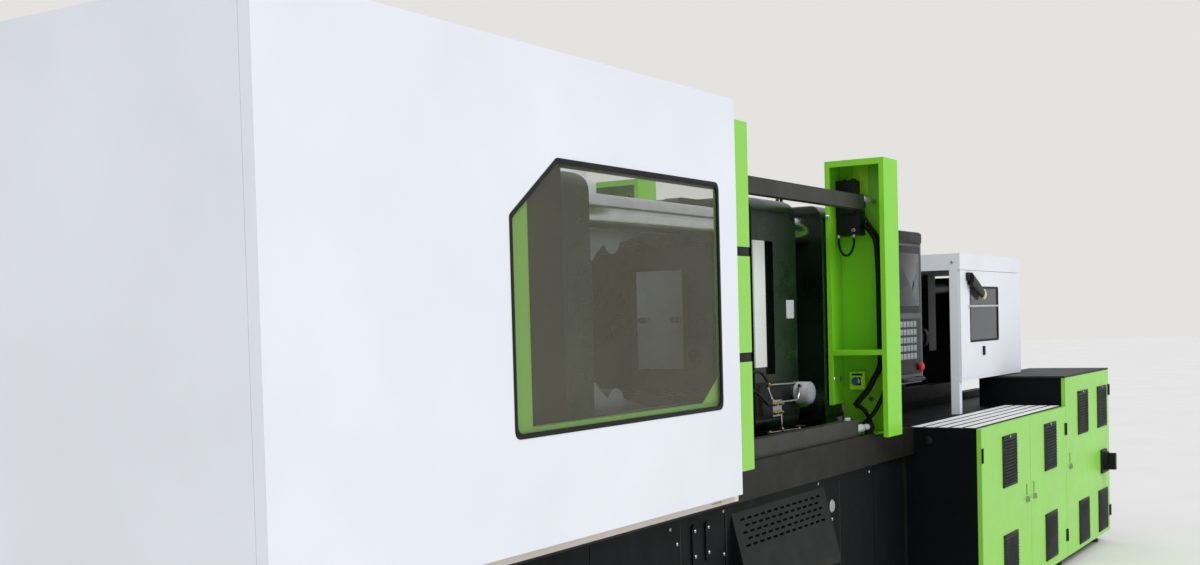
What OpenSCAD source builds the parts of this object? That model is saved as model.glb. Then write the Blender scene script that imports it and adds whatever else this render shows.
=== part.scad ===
// Injection moulding machine with a toggle clamp, a two-platen mould space and a
// horizontal injection unit. X runs along the machine towards the injection end,
// the operator stands on the minus Y side, and the floor is at Z = 0.

/* [Overall] */
// Length of the machine
machine_l = 6492; // [6440:4:6640]
// Width over the cabinets
machine_w = 1830; // [1800:10:1900]
// Height of the levelling mounts under the frames
mount_h = 60; // [45:5:80]
// Height of the mould centre above the floor
centre_z = 1325; // [1320:5:1350]

/* [Platens] */
// Place of the stationary platen's mould face
mould_face_x = 213; // [205:1:220]
// Gap between the platen faces at rest
daylight = 270; // [250:5:290]
// Width of the platens
platen_w = 860; // [850:5:880]
// Height of the platens
platen_h = 900; // [890:5:910]
// Thickness of the stationary platen
fixed_platen_t = 220; // [210:5:230]
// Thickness of the moving platen
moving_platen_t = 403; // [395:1:410]
// Thickness of the tail stock
tail_stock_t = 260; // [240:5:280]
// Radius of a tie bar
tie_bar_r = 55; // [50:1:58]
// Distance between tie bar centres, across and up
tie_bar_pitch = 690; // [680:2:694]
// Radius of the locating bore
locating_r = 80; // [75:1:90]
// Pitch of the mould bolt holes
mould_pitch = 140; // [130:5:150]

/* [Toggle] */
// Length of a rear toggle link between pins
rear_link_l = 310; // [300:2:316]
// Length of a front toggle link between pins
front_link_l = 520; // [510:5:530]
// Height of the outer toggle pins above the centre
toggle_pin_z = 385; // [380:1:390]
// Angle of the rear link below level at rest
toggle_angle = 20; // [18:0.5:22]
// Radius of the toggle pins
toggle_pin_r = 28; // [24:1:32]
// Radius of the link eyes
link_eye_r = 55; // [50:1:58]
// Travel left for the mould height adjustment
height_adjust = 350; // [300:10:360]

/* [Ejector] */
// Stroke of the ejector plate
ejector_stroke = 150; // [120:5:160]

/* [Sliding doors] */
// Width of a sliding door
door_w = 2128; // [2100:2:2150]
// Height of a sliding door
door_h = 1256; // [1240:2:1270]
// Height of the door's lower edge above the floor
door_z = 761; // [756:1:765]
// Depth of the folded door panel
door_t = 32; // [28:1:36]
// Distance from the machine's centre plane to the door's face
door_y = 683; // [680:1:690]
// Thickness of the door's sheet
door_sheet = 4; // [3:0.5:5]
// Width of the window
window_w = 1135; // [1110:5:1150]
// Height of the window
window_h = 690; // [670:5:700]
// Length of the window's cut corner
window_cut_x = 215; // [200:5:230]
// Height of the window's cut corner
window_cut_z = 152; // [140:2:165]
// Width of the green leading edge
edge_w = 93; // [86:1:98]

/* [Columns and rails] */
// Place of the column's open side
column_x = 246; // [244:1:252]
// Width of the column's front wall
column_w = 164; // [156:2:168]
// Depth of the column
column_d = 248; // [242:1:250]
// Thickness of the column's plate
column_t = 6; // [5:0.5:8]
// Height of the column's top above the floor
column_top = 1950; // [1930:5:1970]
// Depth of a door rail
rail_d = 40; // [36:1:44]
// Height of the upper rail
upper_rail_h = 57; // [52:1:62]
// Height of the lower rail
lower_rail_h = 76; // [70:1:80]

/* [Frames] */
// Width of the frame's top beams
beam_w = 100; // [90:5:110]
// Height of the frame's top beams
beam_h = 115; // [105:5:125]
// Height of the frame's top above the floor
beam_top = 835; // [833:1:838]
// Distance from the centre plane to the beam's outer face
beam_y = 625; // [622:1:628]
// Height of the deck over the injection frame
deck_z = 831; // [825:1:834]
// Width of the injection frame
inject_frame_w = 1200; // [1180:10:1210]

/* [Cabinets] */
// Place of the cabinets' left side
cabinet_x = 722; // [718:1:726]
// Width of the first door
cabinet_door_w1 = 791; // [780:1:800]
// Width of the second door
cabinet_door_w2 = 700; // [690:1:710]
// Height of the tall cabinet above the floor
tall_z = 976; // [960:2:990]
// Depth of the tall cabinet
tall_d = 435; // [420:5:440]
// Thickness of a cabinet door
cabinet_door_t = 20; // [18:1:24]
// Side of a square vent
vent_w = 228; // [210:2:234]

/* [Injection unit] */
// Radius of the barrel
barrel_r = 62; // [58:1:64]
// Radius of the screw
screw_r = 26; // [24:0.5:28]
// Stroke of the injection carriage
carriage_stroke = 350; // [300:10:360]
// Stroke of the screw
screw_stroke = 250; // [220:5:260]
// Place of the injection housing's front face
housing_x = 1600; // [1590:2:1610]
// Thickness of the injection housing
housing_t = 160; // [150:2:170]

/* [Operator panel] */
// Width of the operator panel
panel_w = 400; // [380:5:420]
// Height of the operator panel
panel_h = 682; // [660:2:700]
// Radius of the panel's post
post_r = 35; // [30:1:38]

/* [Clearances] */
// Seat or sliding gap
seat = 0.3; // [0.3:0.05:0.5]
// Radial clearance of a pin or shaft
fit = 0.05; // [0.03:0.01:0.08]

/* [Hidden] */
$fn = 48;

// Ends and sides of the machine
clamp_end = -machine_l / 2;
inject_end = machine_l / 2;
cabinet_y = -machine_w / 2;

// Sliding doors
door_x = clamp_end;
door_top = door_z + door_h;
door_back = door_y - door_t;
door_end_gap = 1;
door_travel = column_x - door_end_gap - (door_x + door_w + edge_w);
window_x = door_x + 860;
window_z = door_z + 287;
window_r = 26;
glass_t = 8;
glass_lap = 22;
frame_bar_w = 70;
frame_bar_t = 28;
window_bar_w = 96;
window_lip = 16;
edge_drop_top = 63;
edge_rise_bottom = 72;
edge_cuts = [0.325, 0.628];
edge_cut_h = 30;

// Rails
rail_y = 605;
rail_y0 = -rail_y;
upper_rail_z = column_top - 205;
upper_rail_x1 = column_x - 34;
lower_rail_x1 = column_x - 126;
rail_block_l = 24;
rail_bolt_r = 9;
rail_start_x = clamp_end + 46;
rail_stand_off = 5;
rail_wall = 5;
shoe_l = 160;

// Fixed covers
cover_t = 12;
cover_y = rail_y - rail_d - rail_stand_off;
bumper_z = beam_top + 34;
bumper_r = 16;
end_cover_t = 30;
cover_x0 = clamp_end + end_cover_t;
cover_x1 = cover_x0 + 1256;

// Clamp frame
frame_x0 = clamp_end + end_cover_t;
way_y0 = 320;
way_w = 110;
way_top = 845;
panel_y = 600;
panel_t = 10;
base_rail_w = 100;
base_rail_h = 120;
curb_t = 5;
curb_h = 10;
cover_plate_w = 36;
cover_plate_h = 128;
cover_plate_x = [-1305, -1212];
cover_plate_z = 620;

// Platens along X
fixed_back = mould_face_x + fixed_platen_t;
moving_face = mould_face_x - daylight;
moving_back = moving_face - moving_platen_t;
lug_pin_back = 170;
platen_pin_x = moving_back - lug_pin_back;
front_angle = asin(rear_link_l * sin(toggle_angle) / front_link_l);
toggle_reach = rear_link_l * cos(toggle_angle) + front_link_l * cos(front_angle);
tail_pin_x = platen_pin_x - toggle_reach;
tail_face = tail_pin_x - 170;
tail_back = tail_face - tail_stock_t;
elbow_x = tail_pin_x + rear_link_l * cos(toggle_angle);
elbow_z = toggle_pin_z - rear_link_l * sin(toggle_angle);
tie_half = tie_bar_pitch / 2;
platen_corner_r = 60;
platen_edge_r = 35;
locating_d = 25;
nozzle_bore_r = 60;
barrel_bore_r = 140;
mould_hole_r = 10;
mould_hole_d = 50;
nut_t = 80;
nut_r = 88;
tie_bar_end = tail_back - nut_t - height_adjust - 50;

// Planes of the toggle parts, measured from the centre plane
inner_link_y0 = 120;
inner_link_y1 = 170;
outer_link_y0 = 175;
outer_link_y1 = 235;
link_w = 84;
rear_web = [84, 168];
rear_web_half = 22;
crosshead_end_y = 105;

// Crosshead
drive_pin_r = 200;
drive_pin_lead = 25;
drive_boss_r = 48;
drive_stub_r = 26;
crosshead_pin_z = 85;
crosshead_pin_r = 18;
crosshead_cheek_y = 92;
crosshead_link_half = 46;
crosshead_link_l = 185;
drive_pin_x = tail_pin_x + drive_pin_r * cos(toggle_angle + drive_pin_lead);
drive_pin_z = toggle_pin_z - drive_pin_r * sin(toggle_angle + drive_pin_lead);
drive_rise = drive_pin_z - crosshead_pin_z;
crosshead_x = drive_pin_x + sqrt(pow(crosshead_link_l, 2) - pow(drive_rise, 2));
crosshead_half = 60;
guide_rod_r = 22;
guide_rod_y = 70;
piston_rod_r = 35;
piston_r = 60;
cylinder_r = 95;
cylinder_l = 490;
gland_t = 40;

// Moving platen
platen_wall = 120;
side_recess = [101, 187];
side_recess_d = 26;
platen_side = 70;
ejector_t = 40;
ejector_x = moving_face - platen_wall - ejector_stroke - 18;
ejector_rod_r = 15;
ejector_guide_r = 12;
ejector_guide_y = 70;

// Column fittings
column_y = door_y;
column_back = column_y - column_d;
web_x = column_x + column_w - column_t;
lip_w = 20;
top_lip_h = 25;
shelf_z = 1176;
shelf_lip_h = 21;
switch_body_t = 64;
switch_body_z = column_top - 299;
switch_body_h = 139;
switch_top_h = 87;
switch_y0 = column_back + 110;
switch_y1 = column_back + 12;
switch_roller_r = 16;
back_wall_z = 958;
box_y = -546;
box_z = 1016;
box_w = 66;
box_h = 73;
box_d = 44;
button_r = 13;
button_z = box_z + 34;
button_y = box_y + 40;
button_travel = 6;
cable_r = 13;
cable_route = [
  [372, -555.1, 1694.8], [372, -575, 1672], [372, -589, 1652], [372, -599, 1630],
  [372, -605, 1600], [372, -607, 1557], [372, -609, 1500], [372, -610, 1448],
  [372, -610, 1370], [372, -610, 1290], [372, -610, 1213], [370, -611, 1160],
  [366, -612, 1120], [358, -603, 1088], [350, -588, 1060], [345, -571, 1024],
  [345, -555, 1003], [345, -538, 985], [345, -522, 967], [345, -508, 949]
];
cable_plane = column_x + column_w - column_t;
notch_w = 56;
notch_y = 642;

// Cabinets
split_1 = cabinet_x + cabinet_door_w1;
split_2 = split_1 + cabinet_door_w2;
door_gap = 3;
shell_y = cabinet_y + cabinet_door_t;
shell_t = 10;
low_back = inject_frame_w / 2;
tall_back = -cabinet_y - tall_d;
top_t = 9;
hinge_r = 4;
hinge_inset = 2;
door_end = inject_end - 3;
hinge_l = 60;
hinge_leaf_w = 22;
hinge_leaf_t = 2;
hinge_low_z = 175;
hinge_drop = 115;
lock_r = 14;
lock_shaft_r = 8;
switch_w = 132;
switch_shaft_r = 12;
switch_reach = 70;
strip_count = 5;
strip_pitch = 58;
strip_w = 44;
strip_t = 4;

// Injection unit
nozzle_x = mould_face_x + 30;
nozzle_r = 28;
barrel_front = fixed_back + 40;
housing_back = housing_x + housing_t;
carriage_w = 480;
guide_bar_r = 30;
guide_bar_y = 200;
guide_bar_z = 130;
inject_cyl_r = 65;
inject_cyl_z = -130;
inject_cyl_l = 320;
thrust_gap = 30;
thrust_x = housing_back + inject_cyl_l + thrust_gap;
thrust_t = 120;
thrust_half_h = 200;
motor_r = 100;
motor_l = 150;
carriage_end = thrust_x + thrust_t + screw_stroke + 140;
throat_x = housing_x + housing_t / 2;
throat_r = 35;
throat_top = 1560;
throat_floor = centre_z + barrel_r + 4;
feed_hole_r = throat_r - 5;
flange_hole_r = 7;
flange_half_x = 55;
flange_half_y = 90;
way_h = 40;
band_count = 6;
band_pitch = 172;
band_w = 128;
band_t = 12;

// Guard over the injection unit
guard_x0 = 1561;
guard_x1 = 2645;
guard_y = 585;
guard_top = 1607;
guard_beam_h = 79;
guard_t = 4;
guard_door_z = 1000;
guard_window = [1720, 2208, 1180, 1444];

// Operator panel
panel_x = 760;
panel_z = 1010;
panel_y0 = -527;
panel_d = 74;
sleeve_z0 = 1250;
sleeve_z1 = 1400;
post_x = 960;
post_y = -400;
post_top = 1480;
stop_r = 20;
stop_stem_r = 12;
stop_x = panel_x + panel_w - 60;
stop_z = panel_z + 70;
stop_travel = 8;

// Frame under the clamp
cross_wall_t = 70;
cross_walls = [
  frame_x0, tail_face - 330, door_x + door_w + 30, fixed_back - 150, cabinet_x - cross_wall_t
];

// Hood over the air inlet
hood_x0 = door_x + door_w + 83;
hood_x1 = hood_x0 + 795;
hood_out = 60;
hood_top = beam_top - beam_h - 38;
hood_low = hood_top - 246;
hood_lip = hood_low - 31;
hood_t = 3;
slot_rows = 5;
slot_columns = 13;
slot_pitch_x = 54;
slot_pitch_z = 22;
slot_l = 34;
slot_h = 8;

// Pump cover at the rear
pump_x0 = split_1 - 113;
pump_x1 = pump_x0 + 1300;
pump_z1 = 700;
pump_slot_in = 150;
pump_y1 = -cabinet_y + switch_reach;

// Fittings of the cabinet doors
upper_vent_z = deck_z - 173;
lower_vent_z = 220;
vent_1_x = cabinet_x + 432;
vent_2_x = split_2 - 326;
vent_3_x = split_2 + 380;
vent_4_x = inject_end - 188;
tall_vent_z = tall_z - 198;
lock_z = 451;
lock_1_x = split_1 - 74;
lock_2_x = split_1 + 52;
lock_3_x = split_2 + 78;
tall_lock_z = 518;
switch_x = inject_end - 171;
switch_z = 469;

// Levelling mounts
mount_r = 60;
mount_stem_r = 16;
mount_places = concat(
  [for (x = [frame_x0 + 90, cross_walls[1] + 35, cross_walls[2] + 35, fixed_back + 40], s = [-1, 1])
    [x, s * (panel_y - 60)]],
  [for (x = [cabinet_x + 160, split_1 + 420, inject_end - 160]) [x, low_back - 60]],
  [for (x = [cabinet_x + 160, split_1 + 420]) [x, -low_back + 60]],
  [for (x = [cabinet_x + 90, split_1, split_2 + 80, inject_end - 90]) [x, shell_y + 90]],
  [for (x = [pump_x0 + 80, pump_x1 - 80]) [x, pump_y1 - 80]]
);

// Box given by its lowest and highest places on each axis
module block(x0, x1, y0, y1, z0, z1) {
  translate([x0, y0, z0])
    cube([x1 - x0, y1 - y0, z1 - z0]);
}

// Round bar along X between two places
module bar_x(r, x0, x1, y, z) {
  translate([x0, y, z])
    rotate([0, 90, 0])
      cylinder(r = r, h = x1 - x0);
}

// Round bar along Y between two places
module bar_y(r, y0, y1, x, z) {
  translate([x, y1, z])
    rotate([90, 0, 0])
      cylinder(r = r, h = y1 - y0);
}

// Round bar along Z between two places
module bar_z(r, z0, z1, x, y) {
  translate([x, y, z0])
    cylinder(r = r, h = z1 - z0);
}

// Flat rectangle with round corners, centred
module soft_rect(w, h, r) {
  square([w - 2 * r, h], center = true);
  square([w, h - 2 * r], center = true);
  for (sx = [-1, 1])
    for (sy = [-1, 1])
      translate([sx * (w / 2 - r), sy * (h / 2 - r)])
        circle(r = r);
}

// Stands an outline drawn as X and Z up at one Y place, thickened towards plus Y
module upright(y0, t) {
  translate([0, y0 + t, 0])
    rotate([90, 0, 0])
      linear_extrude(height = t)
        children();
}

// Draws the children and their mirror image across the centre plane
module both_sides() {
  children();
  mirror([0, 1, 0])
    children();
}

// Places the children at the four tie bar centres
module at_tie_bars() {
  for (sy = [-1, 1])
    for (sz = [-1, 1])
      translate([0, sy * tie_half, centre_z + sz * tie_half])
        children();
}

// Window outline in X and Z with the cut corner at the top left, grown by a margin
module window_outline(x0, z0, grow) {
  x1 = x0 - grow;
  x2 = x0 + window_w + grow;
  z1 = z0 - grow;
  z2 = z0 + window_h + grow;
  difference() {
    translate([(x1 + x2) / 2, (z1 + z2) / 2])
      soft_rect(x2 - x1, z2 - z1, window_r);
    polygon([
      [x1 - 1, z2 - window_cut_z], [x1 - 1, z2 + 1],
      [x1 + window_cut_x, z2 + 1], [x1 + window_cut_x, z2]
      , [x1, z2 - window_cut_z]
    ]);
  }
}

// Folded door panel with its window, shifted along X
module door_pan(shift) {
  x0 = door_x + shift;
  difference() {
    block(x0, x0 + door_w, -door_y, -door_back, door_z, door_top);
    block(x0 + door_sheet, x0 + door_w - door_sheet, -door_y + door_sheet, -door_back + 1,
      door_z + door_sheet, door_top - door_sheet);
    upright(-door_y - 1, door_sheet + 2)
      window_outline(window_x + shift, window_z, 0);
  }
}

// Inner frame of a door: bars round the edge, a post beside the window, the shoes that
// run on the rails and the leading edge in three lengths
module door_inner_frame(shift) {
  x0 = door_x + shift + end_cover_t + 1;
  x1 = door_x + shift + door_w - door_sheet;
  y0 = -door_back - frame_bar_t + 12;
  y1 = y0 + frame_bar_t;
  z0 = door_z + door_sheet;
  z1 = door_top - door_sheet;
  bar = frame_bar_w;
  edge_x0 = x1 + door_sheet;
  edge_z0 = door_z + edge_rise_bottom;
  edge_z1 = door_top - edge_drop_top;
  edge_h = edge_z1 - edge_z0;
  block(x0, x0 + bar, y0, y1, z0, z1);
  block(x1 - bar, x1, y0, y1, z0, z1);
  block(x0, x1, y0, y1, z0, z0 + bar);
  block(x0, x1, y0, y1, z1 - bar, z1);
  block(window_x + shift + 6, window_x + shift + window_bar_w, y0, y1, z0, z1);
  block(x0, x1, y0, y1, window_z - bar, window_z + window_lip);
  difference() {
    block(edge_x0, edge_x0 + edge_w, -door_y, -door_back + 2, edge_z0, edge_z1);
    block(edge_x0 - 1, edge_x0 + edge_w - door_sheet, -door_y + door_sheet, -door_back - 4,
      edge_z0 + door_sheet, edge_z1 - door_sheet);
    for (share = edge_cuts)
      block(edge_x0 - 1, edge_x0 + edge_w + 1, -door_y - 1, -door_back - 4,
        edge_z0 + edge_h * share - edge_cut_h / 2, edge_z0 + edge_h * share + edge_cut_h / 2);
  }
  block(x1 - bar, edge_x0 + 2, -door_back + seat, y1, edge_z0, edge_z1);
  block(edge_x0, edge_x0 + edge_w - 8, -door_back, -door_back + 6, edge_z0 + 10, edge_z1 - 10);
  for (sx = [x0 + 120, x1 - 120 - shoe_l]) {
    door_shoe(sx, upper_rail_z + upper_rail_h, z1 - bar / 2);
    door_shoe(sx, beam_top + lower_rail_h, z0 + bar / 2);
  }
}

// Shoe of a door over a rail: a plate on top of the rail, a plate down its front and a
// hanger that reaches the bar of the frame at bar_z
module door_shoe(x, rail_top, bar_z) {
  y_bar = -door_back + 10;
  shoe_top = rail_top + seat + 14;
  block(x, x + shoe_l, y_bar, -rail_y - seat, rail_top - 34, shoe_top);
  block(x, x + shoe_l, -rail_y - seat - 1, -rail_y + rail_d, rail_top + seat, shoe_top);
  block(x, x + shoe_l, y_bar, y_bar + 12, min(bar_z, rail_top - 30), max(bar_z, shoe_top));
}

module front_door() {
  color("#eceff6")
    door_pan(0);
}

module door_frame() {
  color("#8fd94a")
    door_inner_frame(0);
}

// Pane behind a door's sheet, shifted along X
module window_pane(shift) {
  color([0.2, 0.22, 0.22, 0.6])
    upright(-door_y + door_sheet, glass_t)
      window_outline(window_x + shift, window_z, glass_lap);
}

module door_glass() {
  window_pane(0);
}

module rear_glass() {
  mirror([0, 1, 0])
    window_pane(door_travel);
}

// The rear door is the mirror of the front one and stands closed
module rear_door() {
  color("#eceff6")
    mirror([0, 1, 0]) {
      door_pan(door_travel);
      door_inner_frame(door_travel);
    }
}

// Two machined ways, the outer beams, cross walls and the floor rails
module clamp_frame() {
  wall_top = beam_top - beam_h;
  color("#15181a")
    difference() {
      union() {
        both_sides() {
          block(frame_x0, cabinet_x, -beam_y, -beam_y + beam_w, wall_top, beam_top);
          block(frame_x0, column_x, -beam_y, -beam_y + curb_t, beam_top - 1, beam_top + curb_h);
          block(frame_x0 + 40, fixed_back + 60, way_y0, way_y0 + way_w, wall_top - 60, way_top);
          block(frame_x0, cabinet_x, -panel_y + panel_t, -panel_y + panel_t + base_rail_w, mount_h,
            mount_h + base_rail_h);
        }
        for (x = cross_walls) {
          block(x, x + cross_wall_t, -panel_y + panel_t, panel_y - panel_t, mount_h, wall_top + 1);
          block(x, x + cross_wall_t, -way_y0 - 1, way_y0 + 1, wall_top - 1, beam_top - 15);
        }
        for (x = [frame_x0, cabinet_x - cross_wall_t])
          block(x, x + cross_wall_t, -beam_y + 1, beam_y - 1, wall_top, beam_top);
      }
      block(cross_walls[2] + cross_wall_t, cross_walls[3], -way_y0, way_y0,
        mount_h + base_rail_h, way_top + 1);
    }
}

// Sheet panels that close the frame's sides, with two small cover plates
module frame_panels() {
  color("#101314")
    both_sides() {
      for (i = [0:3])
        block(cross_walls[i] + (i == 0 ? 2 : 4), cross_walls[i + 1], -panel_y, -panel_y + panel_t,
          mount_h + 20, beam_top - beam_h - seat);
      for (x = cover_plate_x)
        upright(-panel_y - 5, 6)
          translate([x, cover_plate_z])
            soft_rect(cover_plate_w, cover_plate_h, cover_plate_w / 2 - 0.5);
    }
}

// Sloping hood over the frame's air inlet, open below, with five rows of slots
module vent_hood() {
  slope = atan2(hood_out, hood_top - hood_low);
  color("#16191a")
    difference() {
      block_hood(0);
      block_hood(hood_t);
      for (row = [0:slot_rows - 1])
        for (column = [0:slot_columns - 1 - row % 2])
          translate([
            hood_x0 + slot_pitch_x + (column + (row % 2) / 2) * slot_pitch_x,
            -panel_y - 6 - row * slot_pitch_z * sin(slope),
            hood_top - slot_pitch_z - 4 - row * slot_pitch_z * cos(slope)
          ])
            rotate([-slope, 0, 0])
              block(0, slot_l, -4 * hood_t, 4 * hood_t, -slot_h / 2, slot_h / 2);
    }
}

// Solid under the hood's sheet, drawn in by the sheet's thickness
module block_hood(inset) {
  y_out = -panel_y - hood_out + inset;
  translate([hood_x0 + inset, 0, 0])
    rotate([90, 0, 90])
      linear_extrude(height = hood_x1 - hood_x0 - 2 * inset)
        polygon([
          [-panel_y + (inset > 0 ? 1 : 0), hood_top - inset * 1.5],
          [-panel_y, hood_top - inset * 1.5],
          [y_out, hood_low], [y_out, hood_lip - (inset > 0 ? 1 : 0)],
          [-panel_y + (inset > 0 ? 1 : 0), hood_lip - (inset > 0 ? 1 : 0)]
        ]);
}

// Round pads on threaded stems, one under each bearing place
module levelling_mounts() {
  color("#3a3d3e")
    for (place = mount_places)
      translate([place[0], place[1], 0])
        rotate_extrude()
          polygon([
            [0, 0], [mount_r, 0], [mount_r, 12], [mount_r - 14, 22], [mount_stem_r + 8, 26],
            [mount_stem_r, 26], [mount_stem_r, mount_h], [0, mount_h]
          ]);
}

// Body of a platen: round corners seen along X and round edges seen from the side
module platen_body(x0, x1) {
  intersection() {
    translate([x0, 0, centre_z])
      rotate([90, 0, 90])
        linear_extrude(height = x1 - x0)
          soft_rect(platen_w, platen_h, platen_corner_r);
    upright(-platen_w, 2 * platen_w)
      translate([(x0 + x1) / 2, centre_z])
        soft_rect(x1 - x0, platen_h + 2, platen_edge_r);
  }
}

// Threaded mould holes in rows on a platen's face
module mould_holes(x0, x1) {
  for (iy = [-2:2], iz = [-2:2])
    if (abs(iy) + abs(iz) > 1 && abs(iy) + abs(iz) < 4)
      bar_x(mould_hole_r, x0, x1, iy * mould_pitch, centre_z + iz * mould_pitch);
}

module stationary_platen() {
  color("#123018")
    difference() {
      union() {
        platen_body(mould_face_x, fixed_back);
        both_sides()
          block(mould_face_x + 30, fixed_back - 10, way_y0 + 10, way_y0 + way_w - 10,
            way_top, centre_z - platen_h / 2 + 60);
      }
      at_tie_bars()
        bar_x(tie_bar_r + seat, mould_face_x - 1, fixed_back + 1, 0, 0);
      bar_x(locating_r, mould_face_x - 1, mould_face_x + locating_d, 0, centre_z);
      bar_x(nozzle_bore_r, mould_face_x - 1, fixed_back + 1, 0, centre_z);
      bar_x(barrel_bore_r, mould_face_x + fixed_platen_t / 2, fixed_back + 1, 0, centre_z);
      mould_holes(mould_face_x - 1, mould_face_x + mould_hole_d);
    }
}

module tie_bars() {
  color("#c9cccd")
    at_tie_bars()
      bar_x(tie_bar_r, tie_bar_end, fixed_back + nut_t + 30, 0, 0);
}

// Hexagon ring for a tie bar, with its bore
module tie_nut(x0, x1, r, bore) {
  difference() {
    translate([x0, 0, 0])
      rotate([0, 90, 0])
        cylinder(r = r, h = x1 - x0, $fn = 6);
    bar_x(bore, x0 - 1, x1 + 1, 0, 0);
  }
}

module tie_bar_nuts() {
  color("#2c2f30")
    at_tie_bars()
      tie_nut(fixed_back, fixed_back + nut_t, nut_r, tie_bar_r + seat);
}

// Toothed nuts that set the mould height, on the back of the tail stock
module adjusting_nuts() {
  tooth_count = 28;
  tooth_root = nut_r - 2;
  color("#8b8f90")
    at_tie_bars()
      difference() {
        union() {
          bar_x(tooth_root, tail_back - nut_t, tail_back, 0, 0);
          for (i = [0:tooth_count - 1])
            rotate([i * 360 / tooth_count, 0, 0])
              block(tail_back - nut_t + 20, tail_back - 20, -4, 4, tooth_root - 3, tooth_root + 8);
        }
        bar_x(tie_bar_r + seat, tail_back - nut_t - 1, tail_back + 1, 0, 0);
      }
}

// Pan that closes the clamp end between the two sliding doors
module end_cover() {
  half = door_back - 1;
  color("#d5d4d3")
    difference() {
      block(clamp_end, clamp_end + end_cover_t, -half, half, door_z, door_top);
      block(clamp_end + door_sheet, clamp_end + end_cover_t + 1, -half + door_sheet,
        half - door_sheet, door_z + door_sheet, door_top - door_sheet);
    }
}

// Fixed side sheet behind a rail, folded to a pan
module side_cover() {
  difference() {
    block(cover_x0, cover_x1, -cover_y, -cover_y + 30, beam_top, door_top - cover_t);
    block(cover_x0 + door_sheet, cover_x1 - door_sheet, -cover_y + door_sheet, -cover_y + 31,
      beam_top + door_sheet, door_top - cover_t - door_sheet);
  }
}

module side_covers() {
  color("#e7e9ec")
    both_sides()
      side_cover();
}

// Roof sheet over the toggle, bent down at both sides
module top_cover() {
  color("#e7e9ec")
    difference() {
      block(cover_x0, cover_x1, -cover_y - 20, cover_y + 20, door_top - cover_t - 20, door_top);
      block(cover_x0 - 1, cover_x1 + 1, -cover_y - 16, cover_y + 16,
        door_top - cover_t - 21, door_top - cover_t);
    }
}

// Pale sill along the frame under the parked door, with a short slot
module door_sill() {
  x1 = door_x + door_w + 38;
  color("#e9e2da")
    difference() {
      block(frame_x0, x1, -beam_y - 24, -beam_y, door_z - 27, door_z - 2);
      block(x1 - 190, x1 - 120, -beam_y - 25, -beam_y - 18, door_z - 18, door_z - 12);
    }
}

// The four door rails with their spacers, end blocks, bolts and the lower end bumpers
module door_rails() {
  color("#35352f")
    both_sides() {
      difference() {
        block(rail_start_x, upper_rail_x1, rail_y0, rail_y0 + rail_d, upper_rail_z,
          upper_rail_z + upper_rail_h);
        block(rail_start_x + 1, upper_rail_x1 + 1, rail_y0 + rail_wall, rail_y0 + rail_d - rail_wall,
          upper_rail_z + rail_wall, upper_rail_z + upper_rail_h - rail_wall);
      }
      block(upper_rail_x1 - 1, upper_rail_x1 + rail_block_l, rail_y0, rail_y0 + rail_d,
        upper_rail_z - 4, upper_rail_z + upper_rail_h + 4);
      bar_x(rail_bolt_r, upper_rail_x1 + rail_block_l - 1, web_x, rail_y0 + rail_d / 2,
        upper_rail_z + upper_rail_h - rail_bolt_r - 4);
      for (x = [cover_x0 + 80, (cover_x0 + cover_x1) / 2, cover_x1 - 120])
        block(x, x + 60, rail_y0 + rail_d - 1, -cover_y, upper_rail_z + 10,
          upper_rail_z + upper_rail_h - 10);
      block(rail_start_x, lower_rail_x1, rail_y0, rail_y0 + rail_d, beam_top,
        beam_top + lower_rail_h);
      bar_x(rail_bolt_r, lower_rail_x1 - 1, column_x + 50, rail_y0 + rail_d / 2, bumper_z);
      bar_x(bumper_r, lower_rail_x1 + 8, lower_rail_x1 + 92, rail_y0 + rail_d / 2, bumper_z);
      block(column_x + 40, column_x + 52, rail_y0 + 4, rail_y0 + rail_d - 4, beam_top, bumper_z + 16);
    }
}

// Column of bent plate, open towards the doors, with turned-in lips and a shelf
module column_plate() {
  y0 = -column_y;
  y1 = -column_back;
  block(column_x, column_x + column_w, y0, y0 + column_t, deck_z, column_top);
  block(web_x, column_x + column_w, y0, y1, beam_top + 10, column_top);
  block(column_x, column_x + column_w, y1 - column_t, y1, back_wall_z, column_top);
  block(column_x, column_x + column_w, y0, y1, column_top - column_t, column_top);
  difference() {
    block(column_x + 4, web_x + 1, y0 + 1, y1 - 1, shelf_z, shelf_z + column_t);
    block(web_x - notch_w - 8, web_x - 6, -notch_y, -notch_y + notch_w,
      shelf_z - 1, shelf_z + column_t + 1);
  }
  block(column_x + 60, column_x + column_w, -beam_y + 6, -beam_y + beam_w, beam_top, beam_top + 11);
  block(column_x, column_x + column_t, y1 - lip_w, y1, back_wall_z, column_top);
  block(column_x, column_x + column_t, y0, y0 + lip_w, deck_z, column_top);
  block(column_x, column_x + column_t, y0, y1, column_top - top_lip_h, column_top);
  block(column_x, column_x + column_t, y0, y1, shelf_z + column_t - shelf_lip_h, shelf_z + column_t);
}

module columns() {
  color("#7ed03a")
    both_sides()
      column_plate();
}

// Switch block that senses the closed door: a body on the web, a head and its roller
module limit_switch() {
  step = 19;
  body_top = switch_body_z + switch_body_h;
  face = web_x - switch_body_t;
  color("#17191a") {
    block(face, web_x, -switch_y0, -switch_y1, switch_body_z, body_top);
    block(face, web_x, -switch_y0 + step, -switch_y1, body_top - 1, body_top + switch_top_h);
    block(face - 20, face + 1, -switch_y0 + step, -switch_y1 - step, body_top - 49, body_top + 41);
    bar_x(switch_roller_r, face - 30, face - 19, (-switch_y0 - switch_y1) / 2, body_top - 4);
  }
}

// Rings of one swept cable: unit steps along the route turned into cross sections
function route_step(p, i) =
  let (a = p[max(i - 1, 0)], b = p[min(i + 1, len(p) - 1)]) (b - a) / norm(b - a);

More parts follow.
